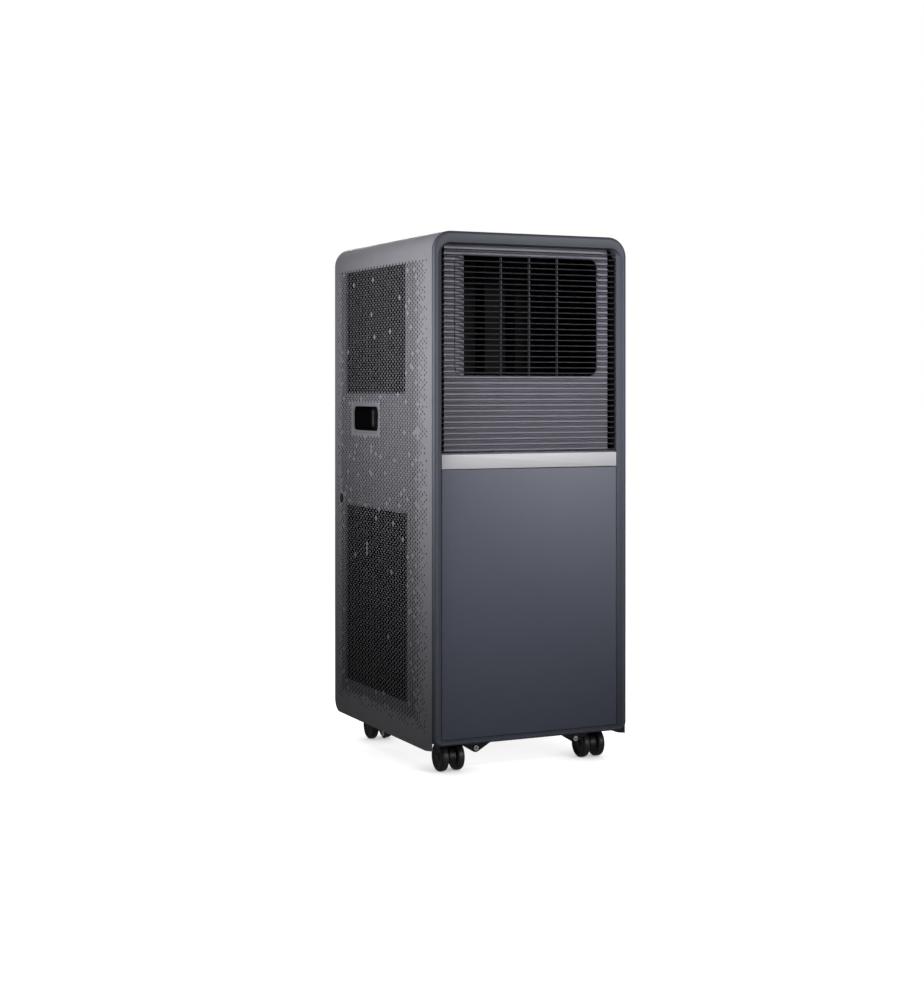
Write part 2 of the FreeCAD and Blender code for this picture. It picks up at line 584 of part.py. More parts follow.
def caster_fork(x, y):
    """Hood between the wheels, pressed onto a steel stem above and an axle below."""
    axle_y = y - CASTER_TRAIL
    half = 5.5
    hood = rod("X", (x - half, axle_y, WHEEL_RADIUS), 2 * half, 16.5)
    hood = hood.cut(block(around(x, half + 1.0), around(axle_y, 20.0), (0.0, 12.0)))
    arm = block(around(x, half), (axle_y, y + 10.0), (WHEEL_RADIUS + 6.0, PAN_FLOOR - 2.6))
    collar = rod("Z", (x, y, PAN_FLOOR - 4.0), 3.6, 10.0)
    body = joined([hood, arm, collar])
    stem = rod("Z", (x, y, WHEEL_RADIUS + 10.0), PAN_FLOOR + 20.0 - WHEEL_RADIUS - 10.0, STEM_RADIUS)
    axle = rod("X", (x - 16.4, axle_y, WHEEL_RADIUS), 32.8, AXLE_RADIUS)
    return Part.makeCompound([body.cut(stem).cut(axle), stem, axle])


def caster_wheel(x, y, side):
    """Wheel with a crowned tread and a blind bore that opens towards the hood."""
    centre = x + side * WHEEL_SPACING / 2
    low = centre - WHEEL_WIDTH / 2
    wheel = rod("X", (low, y - CASTER_TRAIL, WHEEL_RADIUS), WHEEL_WIDTH, WHEEL_RADIUS)
    rims = [edge for edge in wheel.Edges if abs(edge.BoundBox.XMax - edge.BoundBox.XMin) < 1e-6]
    wheel = wheel.makeFillet(2.6, rims)
    inner_face = centre - side * WHEEL_WIDTH / 2
    start = min(inner_face, inner_face + side * 10.0) - (1.0 if side > 0 else 0.0)
    return wheel.cut(rod("X", (start, y - CASTER_TRAIL, WHEEL_RADIUS), 11.0, AXLE_RADIUS + RUNNING))


# ------------------------------------------------------------ rear
DRAIN_X = 60.0
DRAIN_Z = PAN_TOP + 13.0
GLAND_X = -105.0
GLAND_Z = WALL_FOOT + 70.0
REAR_SCREWS = [(x, z) for x in (-146.4, 146.4) for z in (WALL_FOOT + 30.0, WALL_FOOT + 360.0, WALL_FOOT + 460.0)]
REAR_SCREWS += [(-90.0, TOP - 7.0), (90.0, TOP - 7.0)]


def rear_panel():
    """Inset rear cover with louvres, filter slots and holes for exhaust, drain and cord."""
    y = (REAR_PANEL - REAR_THICK, REAR_PANEL)
    through = (y[0] - 1.0, y[1] + 1.0)
    shape = slab((-INSIDE, INSIDE), y, (SHEET_FOOT + 0.6, INSIDE_TOP), 0.0, INSIDE_RADIUS)
    cuts = filter_slots()
    cuts.append(rod("Y", (0, through[0], EXHAUST_Z), 5.0, EXHAUST_RADIUS + EXHAUST_WALL))
    cuts.append(rod("Y", (DRAIN_X, through[0], DRAIN_Z), 5.0, 9.0))
    cuts.append(rod("Y", (GLAND_X, through[0], GLAND_Z), 5.0, 7.0))
    for number in range(14):
        z = WALL_FOOT + 508.0 + number * 12.0
        cuts.append(slab((25.0, 125.0), through, (z, z + 4.5)))
    for x, z in REAR_SCREWS:
        cuts.append(rod("Y", (x, through[0], z), 5.0, 1.9))
    for opening in cuts:
        shape = shape.cut(opening)
    return shape


def rear_screws():
    """Pan-head screws; each is one solid of head and short shank."""
    screws = []
    for x, z in REAR_SCREWS:
        head = rod("Y", (x, REAR_PANEL, z), 2.2, 3.4)
        shank = rod("Y", (x, REAR_PANEL - REAR_THICK, z), REAR_THICK, 1.9)
        screws.append(joined([head, shank]))
    return Part.makeCompound(screws)


def exhaust_collar():
    """Open collar for the hose with a finger guard at its inner end."""
    guard_y = (WARM_SCROLL_Y[1] - SCROLL_WALL, WARM_SCROLL_Y[1])
    outer = EXHAUST_RADIUS + EXHAUST_WALL

    def ring(y, inner_radius, outer_radius):
        start = (0, y[0], EXHAUST_Z)
        return rod("Y", start, y[1] - y[0], outer_radius).cut(rod("Y", start, y[1] - y[0], inner_radius))

    parts = [ring((guard_y[1], EXHAUST_REAR), EXHAUST_RADIUS, outer)]
    parts.append(ring((REAR_PANEL, REAR_PANEL + 3.0), EXHAUST_RADIUS, outer + 11.0))
    for radius in (20.0, 45.0):
        parts.append(ring(guard_y, radius, radius + 3.0))
    parts.append(ring(guard_y, EXHAUST_RADIUS - 3.0, EXHAUST_RADIUS + 1.0))
    spoke = block(around(0, 1.75), guard_y, (EXHAUST_Z + 20.5, EXHAUST_Z + EXHAUST_RADIUS - 2.0))
    for number in range(6):
        parts.append(turned(spoke, (0, 0, EXHAUST_Z), (0, 1, 0), 60.0 * number))
    return joined(parts)


def rear_drain_plug():
    """Round plug that pulls straight out of the base pan's drain."""
    rear = REAR_PANEL + 3.0
    shank = rod("Y", (DRAIN_X, rear - 16.0, DRAIN_Z), 16.5, 6.0)
    head = rod("Y", (DRAIN_X, rear + 0.3, DRAIN_Z), 6.0, 9.5)
    grip = block(around(DRAIN_X, 7.0), (rear + 6.3, rear + 10.5), around(DRAIN_Z, 1.6))
    return joined([shank, head, grip])


def cable_gland():
    """Bushing in the rear panel; its bore is the mains lead's way in."""
    flange = rod("Y", (GLAND_X, REAR_PANEL, GLAND_Z), 3.0, 10.0)
    body = rod("Y", (GLAND_X, REAR_PANEL - 12.0, GLAND_Z), 12.0, 7.0)
    nose = rod("Y", (GLAND_X, REAR_PANEL + 3.0, GLAND_Z), 8.0, 6.5)
    bore = rod("Y", (GLAND_X, REAR_PANEL - 13.0, GLAND_Z), 26.0, 4.0)
    return joined([flange, body, nose]).cut(bore)


# ------------------------------------------------------------ cooling circuit
COMPRESSOR_X, COMPRESSOR_Y = -62.0, -84.0
SUCTION_X, SUCTION_Y = 128.0, COMPRESSOR_Y
LIQUID_X, LIQUID_Y = 100.0, -10.0
COMPRESSOR_RADIUS = 54.0
COMPRESSOR_FOOT = PAN_TOP + 12.0
COMPRESSOR_TOP = WALL_FOOT + 235.0
ACCUMULATOR_X = COMPRESSOR_X + 86.0
ACCUMULATOR_TOP = WALL_FOOT + 190.0
FEET = [(COMPRESSOR_X + 66.0 * math.cos(a), COMPRESSOR_Y + 66.0 * math.sin(a))
        for a in (math.radians(30), math.radians(150), math.radians(270))]
COLD_COIL = ((-112.0, 112.0), (-25.0, 3.0), (DECK_TOP, WALL_FOOT + 690.0))
WARM_COIL = ((-116.0, 116.0), (5.0, 42.0), (PAN_TOP, WALL_FOOT + 322.0))


def coil(x, y, z, rows):
    """Fin pack with return bends standing out of both end plates."""
    parts = [block((x[0] + 1.5, x[1] - 1.5), y, z)]
    parts.append(block((x[0], x[0] + 1.5), (y[0] - 1.0, y[1] + 1.0), z))
    parts.append(block((x[1] - 1.5, x[1]), (y[0] - 1.0, y[1] + 1.0), z))
    pitch = (z[1] - z[0]) / (2 * rows)
    for number in range(rows):
        low = z[0] + (2 * number + 0.5) * pitch
        for column in (0.28, 0.72):
            middle = y[0] + column * (y[1] - y[0])
            for face, outward in ((x[0], -1.0), (x[1], 1.0)):
                tip = face + outward * 12.0
                root = face - outward * 1.0
                parts.append(pipe([(root, middle, low), (tip, middle, low), (tip, middle, low + pitch),
                                   (root, middle, low + pitch)], 3.5, min(9.0, pitch / 2 - 0.1)))
    return joined(parts)


def compressor():
    """Welded pot on a three-point foot plate, with the accumulator strapped beside it."""
    pot = rod("Z", (COMPRESSOR_X, COMPRESSOR_Y, COMPRESSOR_FOOT + 1.0), COMPRESSOR_TOP - COMPRESSOR_FOOT - 1.0,
              COMPRESSOR_RADIUS)
    pot = pot.makeFillet(24.0, [e for e in pot.Edges if abs(e.BoundBox.ZMax - e.BoundBox.ZMin) < 1e-6])
    z = (COMPRESSOR_FOOT, COMPRESSOR_FOOT + 3.0)
    corners = [Vector(fx, fy, z[0]) for fx, fy in FEET]
    plate = Part.Face(Part.makePolygon(corners + corners[:1])).extrude(Vector(0, 0, 3.0))
    lugs = [rod("Z", (fx, fy, z[0]), 3.0, 13.0) for fx, fy in FEET]
    stand = rod("Z", (COMPRESSOR_X, COMPRESSOR_Y, z[0]), 12.0, 36.0)
    flask = rod("Z", (ACCUMULATOR_X, COMPRESSOR_Y, WALL_FOOT + 60.0), ACCUMULATOR_TOP - WALL_FOOT - 60.0, 22.0)
    flask = flask.makeFillet(10.0, [e for e in flask.Edges if abs(e.BoundBox.ZMax - e.BoundBox.ZMin) < 1e-6])
    strap = block((COMPRESSOR_X + 48.0, ACCUMULATOR_X), around(COMPRESSOR_Y, 9.0), around(WALL_FOOT + 130.0, 9.0))
    return joined([pot, plate, stand, flask, strap] + lugs)


def compressor_feet():
    """Rubber mounts between the foot plate and the base pan."""
    return Part.makeCompound([rod("Z", (fx, fy, PAN_TOP), 12.0, 12.0) for fx, fy in FEET])


def refrigerant_lines():
    """Discharge, suction and liquid lines as three bent tubes."""
    discharge = pipe([(COMPRESSOR_X, COMPRESSOR_Y, COMPRESSOR_TOP), (COMPRESSOR_X, COMPRESSOR_Y, WALL_FOOT + 300.0),
                      (COMPRESSOR_X, WARM_COIL[1][0], WALL_FOOT + 300.0)], 4.0, 20.0)
    cold_end = COLD_COIL[0][1]
    suction = pipe([(ACCUMULATOR_X, SUCTION_Y, ACCUMULATOR_TOP), (ACCUMULATOR_X, SUCTION_Y, WALL_FOOT + 260.0),
                    (SUCTION_X, SUCTION_Y, WALL_FOOT + 260.0), (SUCTION_X, SUCTION_Y, WALL_FOOT + 385.0),
                    (SUCTION_X, -11.0, WALL_FOOT + 385.0), (cold_end, -11.0, WALL_FOOT + 385.0)], 5.0, 11.0)
    liquid = pipe([(LIQUID_X, WARM_COIL[1][0], WALL_FOOT + 290.0), (LIQUID_X, LIQUID_Y, WALL_FOOT + 290.0),
                   (LIQUID_X, LIQUID_Y, DECK_TOP)], 3.0, 8.0)
    return Part.makeCompound([discharge, suction, liquid])


# ------------------------------------------------------------ blowers
WHEEL_SHAFT = 4.0
COLD_WHEEL = {"z": WALL_FOOT + 440.0, "radius": 65.0, "y": (-108.0, -50.0)}
WARM_WHEEL = {"z": WALL_FOOT + 128.0, "radius": 75.0, "y": (68.0, 138.0)}
COLD_SCROLL_Y = (DUCT_REAR, -40.0)
WARM_SCROLL_Y = (60.0, 150.0)
SCROLL_WALL = 2.5


def scroll(drum_radius, drum_z, box_x, y, box_top):
    """Blower housing as a wall round a drum and the box above it, with a plate on its front and rear."""
    inner = (y[0] + SCROLL_WALL, y[1] - SCROLL_WALL)

    def outline(span, inset):
        drum = rod("Y", (0, span[0], drum_z), span[1] - span[0], drum_radius - inset)
        box = block((box_x[0] + inset, box_x[1] - inset), span, (drum_z + inset, box_top - inset))
        return joined([drum, box])

    wall = outline(inner, 0.0).cut(outline(inner, SCROLL_WALL))
    return wall, outline((y[0], inner[0]), 0.0), outline((inner[1], y[1]), 0.0)


def evaporator_scroll():
    """Cold air housing standing on the deck; its box opens forward into the outlet duct."""
    box_x = (-OUTLET_HALF + OUTLET_FLARE - SCROLL_WALL, OUTLET_HALF + SCROLL_WALL)
    wall, front, rear = scroll(82.0, COLD_WHEEL["z"], box_x, COLD_SCROLL_Y, OUTLET_TOP + DUCT_WALL)
    mouth = block((-OUTLET_HALF + OUTLET_FLARE, OUTLET_HALF), (COLD_SCROLL_Y[0] - 1.0, COLD_SCROLL_Y[0] + 4.0),
                  (OUTLET_FOOT, OUTLET_TOP))
    front = front.cut(mouth).cut(rod("Y", (0, COLD_SCROLL_Y[0] - 1.0, COLD_WHEEL["z"]), 5.0, 6.0))
    rear = rear.cut(rod("Y", (0, COLD_SCROLL_Y[1] - 4.0, COLD_WHEEL["z"]), 8.0, 52.0))
    feet = [block(around(x, 6.0), (-110.0, -50.0), (DECK_TOP, COLD_WHEEL["z"] - 62.0)) for x in (-52.0, 52.0)]
    drum = rod("Y", (0, COLD_SCROLL_Y[0], COLD_WHEEL["z"]), 90.0, 81.0)
    return Part.makeCompound([joined([wall] + [foot.cut(drum) for foot in feet]), front, rear])


def condenser_scroll():
    """Warm air housing on the base pan; its rear face opens into the exhaust collar."""
    wall, front, rear = scroll(97.0, WARM_WHEEL["z"], (-92.0, 92.0), WARM_SCROLL_Y, WALL_FOOT + 334.0)
    front = front.cut(rod("Y", (0, WARM_SCROLL_Y[0] - 4.0, WARM_WHEEL["z"]), 8.0, 60.0))
    port = rod("Y", (0, WARM_SCROLL_Y[1] - 4.0, EXHAUST_Z), 5.0, EXHAUST_RADIUS + 1.0)
    rear = rear.cut(port).cut(rod("Y", (0, WARM_SCROLL_Y[1] - 4.0, WARM_WHEEL["z"]), 5.0, 6.0))
    feet = [block(around(x, 6.0), (70.0, 140.0), (PAN_TOP, WARM_WHEEL["z"] - 78.0)) for x in (-46.0, 46.0)]
    drum = rod("Y", (0, WARM_SCROLL_Y[0], WARM_WHEEL["z"]), 90.0, 96.0)
    return Part.makeCompound([joined([wall] + [foot.cut(drum) for foot in feet]), front, rear])


def blower_wheel(wheel, disc_at_rear, shaft_end):
    """Drum of blades between a driven disc and an open ring, with its shaft."""
    low, high = wheel["y"]
    radius = wheel["radius"]
    disc_y = high - 2.5 if disc_at_rear else low
    ring_y = low if disc_at_rear else high - 4.0
    disc = rod("Y", (0, disc_y, wheel["z"]), 2.5, radius)
    ring = rod("Y", (0, ring_y, wheel["z"]), 4.0, radius).cut(rod("Y", (0, ring_y, wheel["z"]), 4.0, radius - 5.0))
    blade = block((radius - 13.0, radius - 1.0), (low + 1.0, high - 1.0), around(wheel["z"], 0.8))
    blade = turned(blade, (radius - 1.0, 0, wheel["z"]), (0, 1, 0), 30.0)
    count = 20
    blades = [turned(blade, (0, 0, wheel["z"]), (0, 1, 0), 360.0 / count * i) for i in range(count)]
    hub = rod("Y", (0, disc_y - (14.0 if disc_at_rear else 0.0), wheel["z"]), 16.5, 12.0)
    shaft_span = sorted((disc_y, shaft_end))
    shaft = rod("Y", (0, shaft_span[0], wheel["z"]), shaft_span[1] - shaft_span[0], WHEEL_SHAFT)
    return joined([disc, ring, hub, shaft] + blades)


def blower_motor(centre_z, y, radius, shaft_face):
    """Flat fan motor outside a scroll, bored for the wheel's shaft."""
    body = rod("Y", (0, y[0], centre_z), y[1] - y[0], radius)
    body = body.makeFillet(3.0, [e for e in body.Edges if abs(e.BoundBox.YMax - e.BoundBox.YMin) < 1e-6
                                 and abs(e.BoundBox.YMax - shaft_face) > 1.0])
    bore_start = shaft_face - (1.0 if shaft_face == y[0] else 11.0)
    return body.cut(rod("Y", (0, bore_start, centre_z), 12.0, WHEEL_SHAFT + RUNNING))


def control_box():
    """Closed electrical box on the inside of the rear panel."""
    return rounded((-112.0, 10.0), (112.0, REAR_PANEL - REAR_THICK), (WALL_FOOT + 505.0, WALL_FOOT + 655.0), 5.0, "Y")


# ------------------------------------------------------------ all nodes
def build_nodes():
    nodes = {
        "cabinet_wrap": cabinet_wrap(),
        "front_bezel": front_bezel(),
        "front_panel": front_panel(),
        "trim_strip": trim_strip(),
        "front_grille": front_grille(),
        "grille_backing": grille_backing(),
        "outlet_duct": outlet_duct(),
        "vane_link": vane_link(),
        "vane_motor": vane_motor(),
        "handle_cup_left": handle_cup(),
        "handle_cup_right": mirrored(handle_cup()),
        "side_drain_plug": side_drain_plug(),
        "mid_deck": mid_deck(),
        "filter_rails": filter_rails(),
        "filter_upper_right": air_filter(UPPER_FILTER_Z),
        "filter_upper_left": mirrored(air_filter(UPPER_FILTER_Z)),
        "filter_lower_right": air_filter(LOWER_FILTER_Z),
        "filter_lower_left": mirrored(air_filter(LOWER_FILTER_Z)),
        "control_fascia": control_fascia(),
        "display_lens": display_lens(),
        "base_pan": base_pan(),
        "base_screws": Part.makeCompound(tab_screws()),
        "rear_panel": rear_panel(),
        "rear_screws": rear_screws(),
        "exhaust_collar": exhaust_collar(),
        "rear_drain_plug": rear_drain_plug(),
        "cable_gland": cable_gland(),
        "evaporator_coil": coil(*COLD_COIL, 8),
        "condenser_coil": coil(*WARM_COIL, 7),
        "compressor": compressor(),
        "compressor_feet": compressor_feet(),
        "refrigerant_lines": refrigerant_lines(),
        "evaporator_scroll": evaporator_scroll(),
        "condenser_scroll": condenser_scroll(),
        "evaporator_wheel": blower_wheel(COLD_WHEEL, False, COLD_SCROLL_Y[0] - 9.0),
        "condenser_wheel": blower_wheel(WARM_WHEEL, True, WARM_SCROLL_Y[1] + 9.0),
        "evaporator_motor": blower_motor(COLD_WHEEL["z"], (DUCT_REAR - 26.0, DUCT_REAR), 38.0, DUCT_REAR),
        "condenser_motor": blower_motor(WARM_WHEEL["z"], (WARM_SCROLL_Y[1], 167.5), 40.0, WARM_SCROLL_Y[1]),
        "control_box": control_box(),
    }
    for number in range(VANES):
        nodes["vane_%d" % (number + 1)] = vane(number)
    for name, x in zip(KEY_NAMES, KEY_X):
        nodes[name] = key(x)
    corners = {"fl": (-1, -1), "fr": (1, -1), "rl": (-1, 1), "rr": (1, 1)}
    for corner, (side_x, side_y) in corners.items():
        x = side_x * CASTER_X
        y = side_y * CASTER_Y
        nodes["caster_fork_" + corner] = caster_fork(x, y)
        nodes["caster_wheel_%s_a" % corner] = caster_wheel(x, y, -1)
        nodes["caster_wheel_%s_b" % corner] = caster_wheel(x, y, 1)
    return nodes


os.makedirs("parts", exist_ok=True)
for node_name, node_shape in build_nodes().items():
    if not node_shape.isValid():
        print("not valid:", node_name)
    node_shape.exportStep(os.path.join("parts", node_name + ".step"))
    print("%-20s %3d solids %9.1f cm3" % (node_name, len(node_shape.Solids), node_shape.Volume / 1000.0))
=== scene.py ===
import bmesh
import bpy
import math
import random
from mathutils import Matrix, Vector
from mathutils.geometry import delaunay_2d_cdt

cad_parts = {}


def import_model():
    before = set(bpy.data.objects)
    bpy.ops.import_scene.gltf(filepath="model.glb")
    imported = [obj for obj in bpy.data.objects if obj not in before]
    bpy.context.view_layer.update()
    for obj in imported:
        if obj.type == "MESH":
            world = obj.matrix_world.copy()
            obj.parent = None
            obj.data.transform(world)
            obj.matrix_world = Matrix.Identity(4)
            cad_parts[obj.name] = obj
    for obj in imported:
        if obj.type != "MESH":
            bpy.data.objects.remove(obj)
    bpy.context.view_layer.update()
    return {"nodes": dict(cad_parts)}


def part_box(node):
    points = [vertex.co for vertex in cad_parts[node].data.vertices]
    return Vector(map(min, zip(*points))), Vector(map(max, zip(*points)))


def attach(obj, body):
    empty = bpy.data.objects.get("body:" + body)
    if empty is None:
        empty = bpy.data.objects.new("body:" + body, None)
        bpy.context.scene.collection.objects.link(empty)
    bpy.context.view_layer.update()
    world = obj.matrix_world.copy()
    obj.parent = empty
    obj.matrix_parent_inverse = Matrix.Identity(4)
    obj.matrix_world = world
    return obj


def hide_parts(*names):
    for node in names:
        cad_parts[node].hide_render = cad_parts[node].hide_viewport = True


# Portable air conditioner: perforated steel cabinet, slatted front, four twin-wheel casters.
# Lengths in this script are millimetres; a piece is scaled to metres when it becomes an object.
# +Z up, the front faces -Y, the origin is on the floor under the cabinet.

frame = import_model()

MM = 0.001
SHARP_ANGLE = math.radians(35.0)
SIDE_NAMES = {-1: "left", 1: "right"}
IN_PLANE = {
    "X": lambda u, v, a: (a, u, v),
    "Y": lambda u, v, a: (u, a, v),
    "Z": lambda u, v, a: (u, v, a),
}


# -------- sizes from the frame
def mm_box(node):
    """The low and high corner of a CAD node's box, in millimetres."""
    low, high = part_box(node)
    return low / MM, high / MM


wrap_low, wrap_high = mm_box("cabinet_wrap")
SIDE = wrap_high.x
SHEET_FRONT = wrap_low.y
REAR = wrap_high.y
SHEET_FOOT = wrap_low.z
TOP = wrap_high.z
CABINET_HEIGHT = 720.0
FOOT = TOP - CABINET_HEIGHT
SHEET = 1.6
SKIN = 0.8  # depth of the visible sheet, which leaves room for the liner behind it
TOP_RADIUS = 28.0
HEEL_RADIUS = 19.0
INSIDE = SIDE - SHEET

bezel_low, bezel_high = mm_box("front_bezel")
FRONT = bezel_low.y
BEZEL_FOOT = bezel_low.z
BEZEL_REAR = bezel_high.y
panel_low, panel_high = mm_box("front_panel")
COVER_GAP = 0.3
FIELD = panel_high.x + COVER_GAP
JAMB = SIDE - FIELD
CROWN = 7.0
SETBACK = panel_low.y - FRONT
TOP_RAIL = 17.0
FOOT_RAIL = panel_low.z - COVER_GAP - BEZEL_FOOT
FOOT_RADIUS = 12.0
FIELD_RADIUS = 12.5

strip_low, strip_high = mm_box("trim_strip")
GRILLE_FOOT = strip_high.z + 2.3
GRILLE_TOP = TOP - TOP_RAIL

# Slatted grille and the wall behind it
SLATS = 37
SLAT_PITCH = 7.76
SLAT_THICK = 1.5
SLAT_DEPTH = 6.0
grille_low, _ = mm_box("front_grille")
SLAT_FRONT = grille_low.y
SLAT_HALF = FIELD - 1.6
LOWEST_SLAT = grille_low.z + SLAT_THICK / 2
RIB_SPACING = 44.5
backing_low, backing_high = mm_box("grille_backing")
duct_low, duct_high = mm_box("outlet_duct")
DUCT_WALL = 3.0
OUTLET = (duct_low.x + DUCT_WALL, duct_high.x - DUCT_WALL, duct_low.z + DUCT_WALL, duct_high.z - DUCT_WALL)
OUTLET_RADIUS = 13.0
OUTLET_FLARE = 21.0

# Perforation: staggered holes at 60 degrees
HOLE_COLUMN = 5.84
HOLE_ROW = 6.75
FIELD_Y = (-165.0, 171.2)
FIELD_Z = (FOOT + 28.5, FOOT + 682.0)
FRONT_FADE, REAR_FADE, FOOT_FADE = 70.0, 36.0, 26.0
UPPER_ZONE = (-88.0, 138.0, FOOT + 494.5, FOOT + 680.5)
LOWER_ZONE = (-96.0, 138.0, FOOT + 58.0, FOOT + 326.5)
OPEN_HOLE = 3.22
OPEN_MISSING = 0.0075
CLOSED_HOLE = 2.75

# The sheet's opening for the controls lies this far inside the tray under it
FASCIA_FLANGE = 4.0

# Handles and side plug
handle_low, handle_high = mm_box("handle_cup_left")
plug_low, plug_high = mm_box("side_drain_plug")
PLUG = (plug_low + plug_high) / 2
PLUG_RADIUS = (plug_high.z - plug_low.z) / 2


# -------- scene helpers
def add_object(name, data):
    """Links a new object to the scene."""
    made = bpy.data.objects.new(name, data)
    bpy.context.scene.collection.objects.link(made)
    return made


def assign(node, values):
    """Sets a node's inputs by name."""
    for name, value in values.items():
        node.inputs[name].default_value = value


# -------- mesh making
def arc(u, v, radius, start, end, steps):
    """Points on a circle from one angle to another, in degrees."""
    angles = [math.radians(start + (end - start) * k / steps) for k in range(steps + 1)]
    return [(u + radius * math.cos(angle), v + radius * math.sin(angle)) for angle in angles]


def rounded_rect(u0, u1, v0, v1, radius, steps=6):
    """Outline of a rectangle with rounded corners, counter-clockwise from the low corner."""
    radii = radius if isinstance(radius, (tuple, list)) else [radius] * 4
    corners = [(u0, v0, 1, 1, 180), (u1, v0, -1, 1, 270), (u1, v1, -1, -1, 0), (u0, v1, 1, -1, 90)]
    points = []
    for (u, v, inward_u, inward_v, start), corner_radius in zip(corners, radii):
        r = max(corner_radius, 0.02)
        points += arc(u + inward_u * r, v + inward_v * r, r, start, start + 90, steps)
    return points


def box_outline(axis, box, grow, radius, steps=6):
    """Rounded outline of a (low, high) box seen along an axis, grown outwards on all sides."""
    low, high = box
    u, v = [k for k in range(3) if k != "XYZ".index(axis)]
    return rounded_rect(low[u] - grow, high[u] + grow, low[v] - grow, high[v] + grow, radius, steps)


def ring_outline(u, v, radius, count, start=0.0):
    turn = 2 * math.pi / count
    return [(u + radius * math.cos(start + turn * k), v + radius * math.sin(start + turn * k))
            for k in range(count)]


def span(middle, half):
    """(low, high) pair about a middle."""
    return middle - half, middle + half


def inset(outline, distance):
    """The counter-clockwise outline moved inwards by a distance."""
    moved = []
    for i, point in enumerate(outline):
        here = Vector(point)
        into = (here - Vector(outline[i - 1])).normalized()
        out_of = (Vector(outline[(i + 1) % len(outline)]) - here).normalized()
        normal = Vector((-into.y - out_of.y, into.x + out_of.x)).normalized()
        reach = distance / max(0.4, normal.dot(Vector((-into.y, into.x))))
        moved.append(tuple(here + normal * reach))
    return moved


